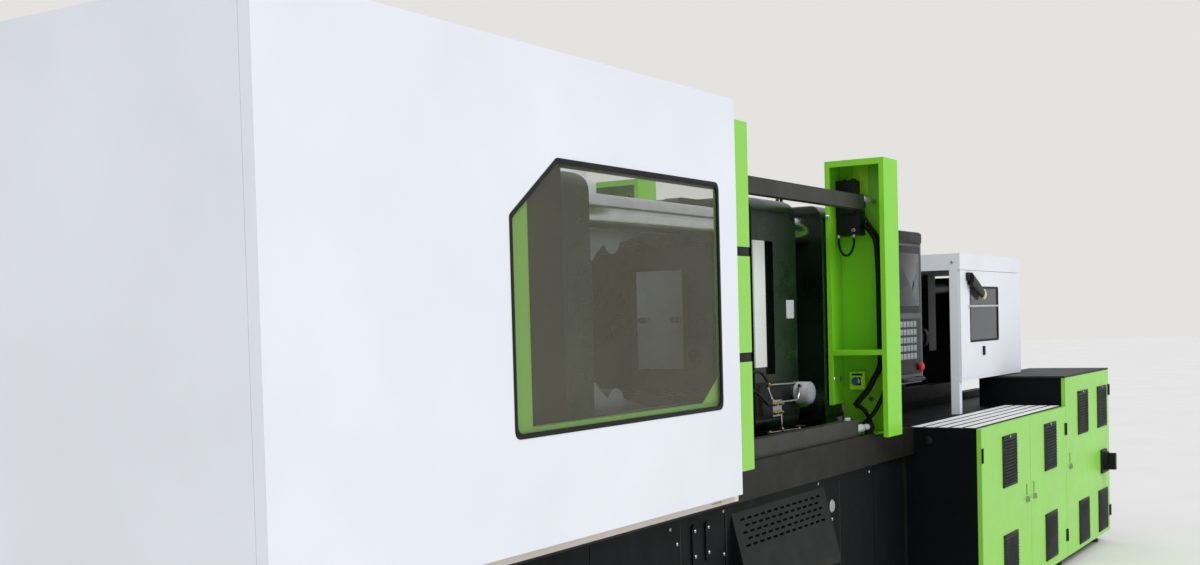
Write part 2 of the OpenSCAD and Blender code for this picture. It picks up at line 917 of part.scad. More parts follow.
function ring_points(p, i, r, sides) =
  let (
    t = route_step(p, i),
    u = cross(t, [1, 0, 0]) / norm(cross(t, [1, 0, 0])),
    v = cross(t, u)
  )
  [for (k = [0:sides - 1]) p[i] + r * cos(k * 360 / sides) * u + r * sin(k * 360 / sides) * v];

// Tube swept along a route that never runs along X
module swept_tube(p, r, sides) {
  rings = [for (i = [0:len(p) - 1]) each ring_points(p, i, r, sides)];
  last = (len(p) - 1) * sides;
  walls = [for (i = [0:len(p) - 2], k = [0:sides - 1])
    let (a = i * sides + k, b = i * sides + (k + 1) % sides)
    each [[a, b, b + sides], [a, b + sides, a + sides]]];
  first_cap = [for (k = [1:sides - 2]) [0, k + 1, k]];
  last_cap = [for (k = [1:sides - 2]) [last, last + k, last + k + 1]];
  polyhedron(points = rings, faces = concat(walls, first_cap, last_cap));
}

// Cable bundle from the switch down to the shelf
module column_cables() {
  color("#0e0f10")
    swept_tube([for (q = cable_route) [q[0] + web_x - cable_plane, q[1], q[2]]], cable_r, 8);
}

// Small switch box on the column's web, with the bore of its button
module button_box() {
  color("#8fd94a")
    difference() {
      block(web_x - box_d, web_x, box_y, box_y + box_w, box_z, box_z + box_h);
      bar_x(button_r - 5 + fit, web_x - box_d - 1, web_x - 10, button_y, button_z);
    }
}

module reset_button() {
  face = web_x - box_d;
  color("#1f5fb0") {
    bar_x(button_r, face - button_travel - 8, face - button_travel - 1, button_y, button_z);
    bar_x(button_r - 5, face - button_travel - 2, face + 24, button_y, button_z);
  }
}

// Round eye of a link with its bar towards another pin, as a flat outline in X and Z
module link_outline(x0, z0, x1, z1) {
  l = norm([x1 - x0, z1 - z0]);
  translate([x0, z0])
    circle(r = link_eye_r);
  translate([x1, z1])
    circle(r = link_eye_r);
  translate([x0, z0])
    rotate(atan2(z1 - z0, x1 - x0))
      translate([0, -link_w / 2])
        square([l, link_w]);
}

// Rear toggle link: two cheeks joined by a web, each with its elbow pin and a short
// drive pin inside
module rear_link() {
  z = centre_z;
  difference() {
    both_sides() {
      upright(outer_link_y0, outer_link_y1 - outer_link_y0) {
        link_outline(tail_pin_x, z + toggle_pin_z, elbow_x, z + elbow_z);
        translate([drive_pin_x, z + drive_pin_z])
          circle(r = drive_boss_r);
        polygon([
          [tail_pin_x + 40, z + toggle_pin_z - 40], [elbow_x - 20, z + elbow_z],
          [drive_pin_x + 42, z + drive_pin_z - 24], [drive_pin_x - 42, z + drive_pin_z - 24]
        ]);
      }
      bar_y(drive_stub_r, crosshead_link_half + 14, outer_link_y0 + 1, drive_pin_x, z + drive_pin_z);
      translate([tail_pin_x, 0, z + toggle_pin_z])
        rotate([0, toggle_angle, 0])
          block(rear_web[0], rear_web[1], -outer_link_y0 - 1, 1, -rear_web_half, rear_web_half);
    }
    bar_y(toggle_pin_r + fit, -outer_link_y1 - 1, outer_link_y1 + 1, tail_pin_x, z + toggle_pin_z);
  }
  both_sides()
    bar_y(toggle_pin_r, -outer_link_y1 + 1, -crosshead_end_y - 8, elbow_x, z + elbow_z);
}

// Front toggle link: two cheeks joined by a web
module front_link() {
  z = centre_z;
  l = front_link_l;
  difference() {
    union() {
      both_sides()
        upright(inner_link_y0, inner_link_y1 - inner_link_y0)
          link_outline(elbow_x, z + elbow_z, platen_pin_x, z + toggle_pin_z);
      translate([elbow_x, 0, z + elbow_z])
        rotate([0, -front_angle, 0])
          block(l * 0.42, l * 0.62, -inner_link_y0 - 1, inner_link_y0 + 1, -30, 30);
    }
    bar_y(toggle_pin_r + fit, -inner_link_y1 - 1, inner_link_y1 + 1, elbow_x, z + elbow_z);
    bar_y(toggle_pin_r + seat, -inner_link_y1 - 1, inner_link_y1 + 1, platen_pin_x, z + toggle_pin_z);
  }
}

// Turns an upper toggle part into the lower one
module below_centre() {
  translate([0, 0, 2 * centre_z])
    mirror([0, 0, 1])
      children();
}

module rear_link_upper() {
  color("#5c6468")
    rear_link();
}

module rear_link_lower() {
  color("#5c6468")
    below_centre()
      rear_link();
}

module front_link_upper() {
  color("#566066")
    front_link();
}

module front_link_lower() {
  color("#566066")
    below_centre()
      front_link();
}

// Crosshead on its guide rods with the piston rod behind it
module crosshead() {
  x0 = crosshead_x - crosshead_half;
  x1 = crosshead_x + crosshead_half;
  rod_end = tail_back - gland_t - 50;
  color("#7c8285") {
    difference() {
      union() {
        block(x0, x1, -crosshead_end_y, crosshead_end_y, centre_z - 44, centre_z + 44);
        both_sides()
          block(x0 + 10, x1 - 10, crosshead_link_half + 4, crosshead_cheek_y,
            centre_z - crosshead_pin_z - 38, centre_z + crosshead_pin_z + 38);
      }
      for (side = [-1, 1])
        bar_x(guide_rod_r + fit, x0 - 1, x1 + 1, side * guide_rod_y, centre_z);
    }
    for (side = [-1, 1])
      bar_y(crosshead_pin_r, -crosshead_cheek_y + 1, crosshead_cheek_y - 1, crosshead_x,
        centre_z + side * crosshead_pin_z);
    bar_x(piston_rod_r, rod_end, x0 + 20, 0, centre_z);
    bar_x(piston_r - seat, rod_end - 1, rod_end + 30, 0, centre_z);
  }
}

// Short link from the crosshead to the rear link's drive pins
module crosshead_link() {
  z = centre_z;
  l = crosshead_link_l;
  angle = atan2(drive_rise, drive_pin_x - crosshead_x);
  difference() {
    translate([crosshead_x, 0, z + crosshead_pin_z])
      rotate([0, -angle, 0])
        upright(-crosshead_link_half, 2 * crosshead_link_half) {
          circle(r = 34);
          translate([l, 0])
            circle(r = 34);
          translate([0, -26])
            square([l, 52]);
        }
    for (pin = [[crosshead_pin_r + fit, crosshead_x, crosshead_pin_z],
        [drive_stub_r + seat, drive_pin_x, drive_pin_z]])
      bar_y(pin[0], -crosshead_link_half - 1, crosshead_link_half + 1, pin[1], z + pin[2]);
  }
}

module crosshead_link_upper() {
  color("#6b7276")
    crosshead_link();
}

module crosshead_link_lower() {
  color("#6b7276")
    below_centre()
      crosshead_link();
}

// Lug with its hole outline for a toggle pin, reaching from a platen
module lug_outline(x_root, x_pin, z_pin) {
  translate([x_pin, z_pin])
    circle(r = link_eye_r + 3);
  translate([min(x_root, x_pin), z_pin - link_eye_r - 3])
    square([abs(x_root - x_pin), 2 * link_eye_r + 6]);
}

// Tail stock with its lugs, toggle pins and the crosshead's guide rods
module tail_stock() {
  z = centre_z;
  rod_x1 = crosshead_x + crosshead_half + 45;
  color("#17341d") {
    difference() {
      union() {
        platen_body(tail_back, tail_face);
        for (level = [-1, 1])
          both_sides()
            upright(inner_link_y0 - 12, outer_link_y0 - inner_link_y0 + 7)
              lug_outline(tail_face - 20, tail_pin_x, z + level * toggle_pin_z);
        both_sides()
          block(tail_back + 30, tail_face - 30, way_y0 + 10, way_y0 + way_w - 10,
            way_top + seat, z - platen_h / 2 + 60);
      }
      at_tie_bars()
        bar_x(tie_bar_r + seat, tail_back - 1, tail_face + 1, 0, 0);
      bar_x(piston_rod_r + 25, tail_back - 1, tail_face + 1, 0, z);
    }
    for (level = [-1, 1])
      bar_y(toggle_pin_r, -outer_link_y1 - 6, outer_link_y1 + 6, tail_pin_x,
        z + level * toggle_pin_z);
    for (side = [-1, 1])
      bar_x(guide_rod_r, tail_face - 30, rod_x1, side * guide_rod_y, z);
  }
}

// Hydraulic cylinder that drives the crosshead
module clamp_cylinder() {
  x1 = tail_back;
  x0 = x1 - cylinder_l;
  color("#2a2e30")
    difference() {
      union() {
        bar_x(cylinder_r, x0, x1, 0, centre_z);
        bar_x(cylinder_r + 45, x1 - 36, x1, 0, centre_z);
        block(x0 - 30, x0 + 30, -cylinder_r - 5, cylinder_r + 5, centre_z - cylinder_r - 5,
          centre_z + cylinder_r + 5);
      }
      bar_x(piston_r, x0 + 30, x1 - gland_t, 0, centre_z);
      bar_x(piston_rod_r + fit, x1 - gland_t - 1, x1 + 1, 0, centre_z);
    }
}

// Moving platen: a face wall, a box behind it and lugs with short toggle pins
module moving_platen() {
  z = centre_z;
  inner_x = moving_face - platen_wall;
  color("#112b17") {
    difference() {
      union() {
        platen_body(moving_back, moving_face);
        for (level = [-1, 1])
          both_sides()
            upright(outer_link_y0, outer_link_y1 - outer_link_y0)
              lug_outline(moving_back + 20, platen_pin_x, z + level * toggle_pin_z);
      }
      block(moving_back - 1, inner_x, -platen_w / 2 + platen_side + 105,
        platen_w / 2 - platen_side - 105, z - 290, z + 290);
      both_sides()
        block(moving_back + side_recess[0], moving_back + side_recess[1], -platen_w / 2 - 1,
          -platen_w / 2 + side_recess_d, z - 215, z + 285);
      at_tie_bars()
        bar_x(tie_bar_r + seat, moving_back - 1, moving_face + 1, 0, 0);
      for (dz = [-1, 0, 1])
        bar_x(ejector_rod_r + fit, inner_x - 1, moving_face + 1, 0, z + dz * mould_pitch);
      mould_holes(moving_face - mould_hole_d, moving_face + 1);
    }
    for (side = [-1, 1])
      bar_x(ejector_guide_r, ejector_x - ejector_t - 30, inner_x + 1, side * ejector_guide_y, z);
    for (level = [-1, 1])
      both_sides()
        bar_y(toggle_pin_r, outer_link_y0 - 1, outer_link_y1 + 10, platen_pin_x,
          z + level * toggle_pin_z);
  }
}

// Slide shoes under the moving platen, one on each way
module platen_shoes() {
  color("#8b8f90")
    both_sides()
      block(moving_back + platen_edge_r + 5, moving_face - platen_edge_r - 5, way_y0 + 10,
        way_y0 + way_w - 10, way_top + seat, centre_z - platen_h / 2);
}

// Ejector plate with its three rods, on two guide pins
module ejector() {
  z = centre_z;
  color("#9aa0a3") {
    difference() {
      block(ejector_x - ejector_t, ejector_x, -100, 100, z - 190, z + 190);
      for (side = [-1, 1])
        bar_x(ejector_guide_r + fit, ejector_x - ejector_t - 1, ejector_x + 1,
          side * ejector_guide_y, z);
    }
    for (dz = [-1, 0, 1])
      bar_x(ejector_rod_r, ejector_x - 1, moving_face - locating_d - 2, 0, z + dz * mould_pitch);
  }
}

// Grease distributor on the moving platen's side, with its canister
module lubrication_block() {
  y0 = -platen_w / 2;
  x = moving_back + 32;
  z = centre_z - 367;
  color("#a8adb0") {
    block(x - 12, x + 358, y0 - 8, y0, z - 13, z + 120);
    block(x, x + 78, y0 - 56, y0 - 7, z, z + 60);
    bar_y(42, y0 - 70, y0 - 7, x + 322, z + 71);
  }
}

// Frame under the injection unit: a box with a deck on top, open below
module injection_frame() {
  color("#0d1012")
    difference() {
      union() {
        block(cabinet_x, split_2, -low_back, low_back, mount_h, deck_z);
        block(split_2 - 1, inject_end, -tall_back, low_back, mount_h, deck_z);
      }
      block(cabinet_x + shell_t, split_2 + 1, -low_back + shell_t, low_back - shell_t,
        mount_h - 1, deck_z - 20);
      block(split_2, inject_end - shell_t, -tall_back + shell_t, low_back - shell_t,
        mount_h - 1, deck_z - 20);
    }
  color("#0d1012") {
    block(cabinet_x + 1, split_2 - 1, -low_back + shell_t - 1, -low_back + 110, mount_h, mount_h + 60);
    block(cabinet_x + 1, inject_end - 1, low_back - 110, low_back - shell_t + 1, mount_h, mount_h + 60);
  }
  color("#8d9295")
    both_sides()
      block(housing_x - 60, inject_end - 60, carriage_w / 2 - 60, carriage_w / 2, deck_z - 1,
        deck_z + way_h);
}

// Shells of the low and the tall cabinet behind their doors
module cabinet_shell() {
  color("#121516")
    difference() {
      union() {
        block(cabinet_x, split_2 + 1, shell_y, -low_back, mount_h, deck_z);
        block(split_2, inject_end, shell_y, -tall_back, mount_h, tall_z);
      }
      block(cabinet_x + shell_t, split_2 - shell_t, shell_y - 1, -low_back - shell_t,
        mount_h + shell_t, deck_z - shell_t);
      block(split_2 + shell_t, inject_end - shell_t, shell_y - 1, -tall_back - shell_t,
        mount_h + shell_t, tall_z - shell_t);
    }
}

// Dark top plate of the tall cabinet
module cabinet_top() {
  color("#2b2d2e")
    block(split_2 - 6, inject_end, cabinet_y + 1, -tall_back, tall_z, tall_z + top_t);
}

// Pale strips on the deck, running along the machine
module deck_strips() {
  color("#e8e9ea")
    for (i = [0:strip_count - 1])
      block(cabinet_x + 4, split_2 - 8, shell_y + 6 + i * strip_pitch,
        shell_y + 6 + i * strip_pitch + strip_w, deck_z, deck_z + strip_t);
}

// Cover over the pump at the rear, with slots at its end
module pump_cover() {
  y1 = pump_y1;
  color("#141718")
    difference() {
      block(pump_x0, pump_x1, low_back, y1, mount_h, pump_z1);
      block(pump_x0 + shell_t, pump_x1 - shell_t, low_back - 1, y1 - shell_t,
        mount_h + shell_t, pump_z1 - shell_t);
      for (i = [0:13])
        block(pump_x0 + pump_slot_in, pump_x1 - pump_slot_in, y1 - shell_t - 1, y1 + 1,
          mount_h + 120 + i * 32, mount_h + 134 + i * 32);
    }
}

// Carriage: the injection housing, its feet on the ways, guide bars and the end plate
module carriage() {
  half = carriage_w / 2;
  foot = deck_z + way_h;
  color("#23282a") {
    difference() {
      union() {
        block(housing_x, housing_back, -half, half, centre_z - 230, throat_top);
        block(housing_x, carriage_end, -half, -half + 70, foot + seat, foot + 70);
        block(housing_x, carriage_end, half - 70, half, foot + seat, foot + 70);
        block(housing_x, housing_back, -half, half, foot + seat + 1, centre_z - 200);
        block(carriage_end - 60, carriage_end, -half, half, foot + seat + 1, centre_z + 190);
      }
      bar_x(barrel_r + fit, housing_x - 1, housing_back + 1, 0, centre_z);
      bar_z(throat_r, throat_floor, throat_top + 1, throat_x, 0);
      bar_z(feed_hole_r, centre_z, throat_floor + 1, throat_x, 0);
      bar_x(motor_r + 40, carriage_end - 61, carriage_end + 1, 0, centre_z);
      for (sx = [-1, 1], sy = [-1, 1])
        bar_z(flange_hole_r, throat_top - 30, throat_top + 1, throat_x + sx * flange_half_x,
          sy * flange_half_y);
    }
    for (side = [-1, 1])
      bar_x(guide_bar_r, housing_back - 1, carriage_end - 59, side * guide_bar_y,
        centre_z + guide_bar_z);
  }
}

// Barrel with its end cap and nozzle, bored for the screw and the feed throat
module barrel() {
  color("#8b9093")
    difference() {
      translate([0, 0, centre_z])
        rotate([0, 90, 0])
          rotate_extrude()
            polygon([
              [0, nozzle_x], [8, nozzle_x], [nozzle_r - 6, nozzle_x + 20], [nozzle_r, nozzle_x + 30],
              [nozzle_r, fixed_back - 60], [barrel_r - 12, fixed_back - 20],
              [barrel_r - 12, barrel_front], [barrel_r, barrel_front],
              [barrel_r, housing_back], [0, housing_back]
            ]);
      bar_x(screw_r + fit, barrel_front + 10, housing_back + 1, 0, centre_z);
      bar_x(4, nozzle_x - 1, barrel_front + 11, 0, centre_z);
      bar_z(feed_hole_r, centre_z, centre_z + barrel_r + 1, throat_x, 0);
    }
}

module heater_bands() {
  color("#b9bcbd")
    for (i = [0:band_count - 1])
      translate([barrel_front + 40 + i * band_pitch, 0, 0])
        difference() {
          union() {
            bar_x(barrel_r + band_t, 0, band_w, 0, centre_z);
            block(20, 90, -18, 18, centre_z + barrel_r + 4, centre_z + barrel_r + 46);
          }
          bar_x(barrel_r + seat, -1, band_w + 1, 0, centre_z);
        }
}

module injection_cylinders() {
  x0 = housing_back;
  x1 = x0 + inject_cyl_l;
  color("#33383b")
    for (side = [-1, 1])
      difference() {
        union() {
          bar_x(inject_cyl_r - 8, x0, x1, side * guide_bar_y, centre_z + inject_cyl_z);
          bar_x(inject_cyl_r, x1 - 50, x1, side * guide_bar_y, centre_z + inject_cyl_z);
          bar_x(inject_cyl_r, x0, x0 + 40, side * guide_bar_y, centre_z + inject_cyl_z);
        }
        bar_x(guide_bar_r + 12, x0 + 10, x1 - 40, side * guide_bar_y, centre_z + inject_cyl_z);
        bar_x(guide_bar_r + fit, x1 - 41, x1 + 1, side * guide_bar_y, centre_z + inject_cyl_z);
      }
}

// Thrust plate with its two piston rods and the screw motor behind it
module thrust_plate() {
  x0 = thrust_x;
  x1 = thrust_x + thrust_t;
  half = carriage_w / 2 + 10;
  color("#2f3437") {
    difference() {
      union() {
        block(x0, x1, -half, half, centre_z - thrust_half_h, centre_z + thrust_half_h);
        bar_x(motor_r, x1 - 1, x1 + motor_l, 0, centre_z);
        block(x1 + 40, x1 + motor_l - 40, -30, 30, centre_z + motor_r - 20, centre_z + motor_r + 25);
      }
      for (side = [-1, 1])
        bar_x(guide_bar_r + fit, x0 - 1, x1 + 1, side * guide_bar_y, centre_z + guide_bar_z);
      bar_x(screw_r + fit, x0 - 1, x1 - 9, 0, centre_z);
    }
    for (side = [-1, 1])
      bar_x(guide_bar_r, housing_back + 20, x0 + 1, side * guide_bar_y, centre_z + inject_cyl_z);
  }
}

// Screw shaft with a pointed end
module screw() {
  tip = barrel_front + 14;
  color("#c2c6c8")
    translate([0, 0, centre_z])
      rotate([0, 90, 0])
        rotate_extrude()
          polygon([
            [0, tip], [6, tip], [screw_r, tip + 50], [screw_r, thrust_x + thrust_t - 12],
            [0, thrust_x + thrust_t - 12]
          ]);
}

// Fixed guard: a deep band round the top, a roof with the throat's slot, posts and back
module injection_guard() {
  z0 = guard_top - guard_beam_h;
  color("#eef0f2")
    difference() {
      union() {
        difference() {
          block(guard_x0, guard_x1, -guard_y, guard_y, z0, guard_top);
          block(guard_x0 + guard_t, guard_x1 - guard_t, -guard_y + guard_t, guard_y - guard_t,
            z0 - 1, guard_top - guard_t);
        }
        guard_post(guard_x0, -guard_y + 12, deck_z);
        guard_post(guard_x0, guard_y - 40, deck_z);
        guard_post(guard_x1 - 40, guard_y - 40, deck_z);
        guard_post(guard_x1 - 40, -guard_y + 12, tall_z + top_t);
        block(guard_x0, guard_x1, guard_y - guard_t, guard_y, deck_z + 60, z0 + 1);
        block(guard_x0, guard_x1, -guard_y + 1, -guard_y + 30, guard_door_z - 10,
          guard_door_z + 2 - seat);
      }
      block(throat_x - 90, throat_x + carriage_stroke + 90, -130, 130, z0 - 1, guard_top + 1);
    }
}

// Square guard post from a seat up into the band
module guard_post(x, y, z0) {
  block(x, x + 40, y, y + 40, z0, guard_top - guard_t);
}

// Sliding front panel of the guard, hung under the band, with its window
module guard_door() {
  z0 = guard_door_z + 2;
  z1 = guard_top - guard_beam_h - 2;
  color("#eef0f2")
    difference() {
      block(guard_x0 + 4, guard_x1, -guard_y, -guard_y + 11, z0, z1);
      block(guard_x0 + 8, guard_x1 - 4, -guard_y + 3, -guard_y + 12, z0 + 4, z1 - 4);
      block(guard_window[0], guard_window[1], -guard_y - 1, -guard_y + 4,
        guard_window[2], guard_window[3]);
    }
}

module guard_glass() {
  lap = 16;
  color([0.15, 0.16, 0.17, 0.7])
    block(guard_window[0] - lap, guard_window[1] + lap, -guard_y + 3, -guard_y + 9,
      guard_window[2] - lap, guard_window[3] + lap);
}

// Post on the deck that carries the operator panel
module panel_post() {
  color("#4a4d4f") {
    bar_z(post_r, deck_z, post_top, post_x, post_y);
    bar_z(post_r + 40, deck_z, deck_z + 14, post_x, post_y);
    bar_z(post_r + 10, sleeve_z0 - 14, sleeve_z0 - seat, post_x, post_y);
  }
}

// Operator panel: a housing with round corners and the sleeve that turns on the post
module operator_panel() {
  color("#4f5152")
    difference() {
      union() {
        upright(panel_y0, panel_d)
          translate([panel_x + panel_w / 2, panel_z + panel_h / 2])
            soft_rect(panel_w, panel_h, 24);
        block(post_x - 40, post_x + 40, panel_y0 + panel_d - 1, post_y, sleeve_z0 + 12,
          sleeve_z1 - 12);
        bar_z(post_r + 16, sleeve_z0, sleeve_z1, post_x, post_y);
      }
      bar_z(post_r + fit, sleeve_z0 - 1, sleeve_z1 + 1, post_x, post_y);
      bar_y(stop_stem_r + fit, panel_y0 - 1, panel_y0 + 22 + stop_travel, stop_x, stop_z);
    }
}

// Emergency stop: a mushroom head on its stem
module emergency_stop() {
  color("#c8201c")
    translate([stop_x, panel_y0 + 20, stop_z])
      rotate([90, 0, 0])
        rotate_extrude()
          polygon([
            [0, 0], [stop_stem_r, 0], [stop_stem_r, 20 + stop_travel + 1],
            [stop_r, 20 + stop_travel + 1],
            [stop_r, 20 + stop_travel + 10], [stop_r - 7, 20 + stop_travel + 16],
            [0, 20 + stop_travel + 18]
          ]);
}

// Two hinge knuckles with their leaves on a cabinet door's face, round the axis at x; the
// leaf reaches from the axis towards side
module door_hinges(x, side, z1) {
  leaf = side * hinge_leaf_w;
  for (z = [hinge_low_z, z1 - hinge_drop]) {
    bar_z(hinge_r, z - hinge_l / 2, z + hinge_l / 2, x, cabinet_y - hinge_r);
    block(min(x, x + leaf), max(x, x + leaf), cabinet_y - hinge_leaf_t, cabinet_y + 1,
      z - hinge_l / 2, z + hinge_l / 2);
  }
}

// Cabinet door: a folded panel with vents, the lock's hole and its hinges on one edge
module cabinet_door(x0, x1, z1, vents, lock_x, lock_z, hinge_side) {
  y0 = cabinet_y;
  y1 = shell_y - seat;
  edge = hinge_side < 0 ? x0 + door_gap / 2 : x1 - door_gap / 2;
  door_hinges(edge - hinge_side * hinge_inset, -hinge_side, z1);
  difference() {
    block(x0 + door_gap / 2, x1 - door_gap / 2, y0, y1, mount_h + 3, z1 - 1);
    block(x0 + door_gap / 2 + 5, x1 - door_gap / 2 - 5, y0 + 5, y1 + 1, mount_h + 8, z1 - 6);
    for (v = vents)
      for (i = [0:8])
        block(v[0] - vent_w / 2 + 10, v[0] + vent_w / 2 - 10, y0 - 1, y0 + 6,
          v[1] - vent_w / 2 + 14 + i * (vent_w - 20) / 9,
          v[1] - vent_w / 2 + 24 + i * (vent_w - 20) / 9);
    bar_y(lock_shaft_r + fit, y0 - 1, y0 + 6, lock_x, lock_z);
  }
}

module cabinet_door_1() {
  color("#8fd94a")
    cabinet_door(cabinet_x, split_1, deck_z, [[vent_1_x, upper_vent_z], [vent_1_x, lower_vent_z]],
      lock_1_x, lock_z, -1);
}

module cabinet_door_2() {
  color("#8fd94a")
    cabinet_door(split_1, split_2, deck_z, [[vent_2_x, upper_vent_z], [vent_2_x, lower_vent_z]],
      lock_2_x, lock_z, 1);
}

// The tall door also carries the main switch's shaft hole
module cabinet_door_3() {
  color("#8fd94a")
    difference() {
      cabinet_door(split_2, door_end, tall_z,
        [[vent_3_x, tall_vent_z], [vent_3_x, lower_vent_z - 20],
          [vent_4_x, tall_vent_z], [vent_4_x, lower_vent_z - 20]],
        lock_3_x, tall_lock_z, 1);
      bar_y(switch_shaft_r + fit, cabinet_y - 1, cabinet_y + 6, switch_x, switch_z);
    }
}

// Quarter-turn lock: a head outside the door, a shaft through it and a cam inside
module quarter_lock(x, z) {
  y0 = cabinet_y;
  color("#c4c8ca") {
    bar_y(lock_r, y0 - 9, y0 - 0.5, x, z);
    block(x - 3, x + 3, y0 - 15, y0 - 8, z - lock_r + 2, z + lock_r - 2);
    bar_y(lock_shaft_r, y0 - 2, y0 + 13, x, z);
    block(x - 8, x + 8, y0 + 9, y0 + 12, z - 8, z + 34);
  }
}

module cabinet_lock_1() {
  quarter_lock(lock_1_x, lock_z);
}

module cabinet_lock_2() {
  quarter_lock(lock_2_x, lock_z);
}

module cabinet_lock_3() {
  quarter_lock(lock_3_x, tall_lock_z);
}

// Main switch: a square boss with a grip across it
module main_switch() {
  y0 = cabinet_y;
  color("#0c0d0e") {
    bar_y(switch_w / 2 - 12, y0 - 30, y0 - 0.5, switch_x, switch_z);
    block(switch_x - 14, switch_x + 14, y0 - switch_reach, y0 - 29, switch_z - 46, switch_z + 46);
    bar_y(switch_shaft_r, y0 - 1, y0 + 16, switch_x, switch_z);
  }
}

clamp_frame();
frame_panels();
vent_hood();
levelling_mounts();
stationary_platen();
tie_bars();
tie_bar_nuts();
end_cover();
side_covers();
top_cover();
door_sill();
door_rails();
columns();
limit_switch();
column_cables();
button_box();
reset_button();
front_door();
door_frame();
door_glass();
rear_door();
rear_glass();
tail_stock();
clamp_cylinder();
adjusting_nuts();
rear_link_upper();
rear_link_lower();
front_link_upper();
front_link_lower();
crosshead();
crosshead_link_upper();
crosshead_link_lower();
moving_platen();
platen_shoes();
lubrication_block();
ejector();
injection_frame();
cabinet_shell();
cabinet_top();
deck_strips();
pump_cover();
carriage();
barrel();
heater_bands();
injection_cylinders();
thrust_plate();
screw();
injection_guard();
guard_door();
guard_glass();
panel_post();
operator_panel();
emergency_stop();
cabinet_door_1();
cabinet_door_2();
cabinet_door_3();
cabinet_lock_1();
cabinet_lock_2();
cabinet_lock_3();
main_switch();
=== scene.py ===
"""Looks of an injection moulding machine: materials, fittings, stage and camera.

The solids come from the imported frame. Every new piece is a surface worked out on a grid
of points in the same frame, in millimetres, and rides on the body that carries it.
"""

import bmesh
import bpy
import numpy as np
from bpy.props import FloatProperty, FloatVectorProperty, IntProperty, PointerProperty
from mathutils import Matrix


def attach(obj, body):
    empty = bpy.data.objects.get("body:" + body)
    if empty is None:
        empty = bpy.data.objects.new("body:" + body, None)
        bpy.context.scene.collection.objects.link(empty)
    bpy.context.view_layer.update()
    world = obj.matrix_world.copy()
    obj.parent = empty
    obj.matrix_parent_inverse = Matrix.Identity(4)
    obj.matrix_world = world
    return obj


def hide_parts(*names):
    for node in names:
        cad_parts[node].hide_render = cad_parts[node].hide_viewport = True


bl_info = {
    "name": "Injection Moulding Machine Looks",
    "version": (1, 0, 0),
    "blender": (4, 5, 0),
    "location": "3D View > Sidebar > Moulding",
    "description": "Materials and fittings of an injection moulding machine",
    "category": "Object",
}

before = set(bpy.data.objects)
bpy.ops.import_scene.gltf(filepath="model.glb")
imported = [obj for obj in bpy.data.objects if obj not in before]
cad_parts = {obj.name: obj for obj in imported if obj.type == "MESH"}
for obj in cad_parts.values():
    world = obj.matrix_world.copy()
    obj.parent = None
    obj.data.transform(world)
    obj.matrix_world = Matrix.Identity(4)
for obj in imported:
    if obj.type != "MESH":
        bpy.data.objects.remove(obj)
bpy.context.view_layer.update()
MM = 0.001
TURN = 2 * np.pi

# Y of the front door's pane, and the rear door's shift along X against the front one
DOOR_PANE, REAR_SHIFT = -679, 1270

# In-plane axes and outward normal for each side that a fitting can sit on
SIDES = {
    "-y": ((1, 0, 0), (0, 0, 1), (0, -1, 0)),
    "+y": ((-1, 0, 0), (0, 0, 1), (0, 1, 0)),
    "-x": ((0, -1, 0), (0, 0, 1), (-1, 0, 0)),
    "+x": ((0, 1, 0), (0, 0, 1), (1, 0, 0)),
    "+z": ((1, 0, 0), (0, 1, 0), (0, 0, 1)),
    "-z": ((1, 0, 0), (0, -1, 0), (0, 0, -1)),
}


def linear(hex_colour, alpha=1.0):
    """sRGB hex to linear: c / 12.92 below 0.04045, else ((c + 0.055) / 1.055) to 2.4."""
    c = np.array([int(hex_colour[i : i + 2], 16) for i in (1, 3, 5)]) / 255
    c = np.where(c <= 0.04045, c / 12.92, ((c + 0.055) / 1.055) ** 2.4)
    return (*c.tolist(), alpha)


def paint(name, words, hex_colour):
    """A colour setting with its default written in sRGB hex."""
    return FloatVectorProperty(
        name=name, description=words, subtype="COLOR", size=4, min=0, max=1,
        default=linear(hex_colour),
    )


def size(name, words, mm):
    """A length setting with its default written in millimetres."""
    return FloatProperty(
        name=name, description=words, default=mm * MM, min=0, unit="LENGTH", subtype="DISTANCE"
    )


class MachineFinish(bpy.types.PropertyGroup):
    """Colours of the machine's finishes."""

    green: paint("Green", "Powder coat of the columns and cabinet doors", "#8FD64A")
    column: paint("Column green", "Powder coat of the columns and their boxes", "#84D826")
    white: paint("White", "Powder coat of the doors and covers", "#E9ECF3")
    cream: paint("Cream", "Painted sill under the doors", "#E4DBD0")
    black: paint("Black", "Powder coat of the frames and cabinets", "#0A0C0C")
    rail: paint("Rail", "Paint of the door rails", "#27261F")
    casting: paint("Casting", "Enamel of the platens", "#0B1A10")
    casing: paint("Casing", "Paint of the operator panel", "#46494A")
    steel: paint("Steel", "Machined steel", "#9DA1A4")
    # The pane's pale warm grey, laid at 22 % opacity over the inside, is partly the smoke tint and
    # partly painted reflection of the surroundings.
    pane: paint("Pane", "Smoked acrylic of the windows", "#72715E")
    floor: paint("Floor", "Plain floor and backdrop", "#E4E3E0")


class FittingSizes(bpy.types.PropertyGroup):
    """Sizes of the fittings."""

    gasket_w: size("Gasket width", "Rubber round a window", 13)
    vent_w: size("Vent width", "Side of a louvre plate", 228)
    vent_blades: IntProperty(name="Blades", description="Louvres in a plate", default=14, min=3)
    screw_r: size("Screw radius", "Head of a panel screw", 6)
    tube_r: size("Grease tube radius", "Outside radius of a grease line", 4)
    cable_r: size("Cable radius", "Outside radius of a switch lead", 5)


class StageSettings(bpy.types.PropertyGroup):
    """Camera and light."""

    lens: FloatProperty(name="Lens", description="Focal length", default=42.54, min=1)
    sun: FloatProperty(name="Sun", description="Strength of the soft key light", default=1.55, min=0)
    sky: FloatProperty(name="Sky", description="Strength of the even light", default=0.72, min=0)


def to_mm(length):
    """A setting's length in millimetres."""
    return length / MM


# Shapes


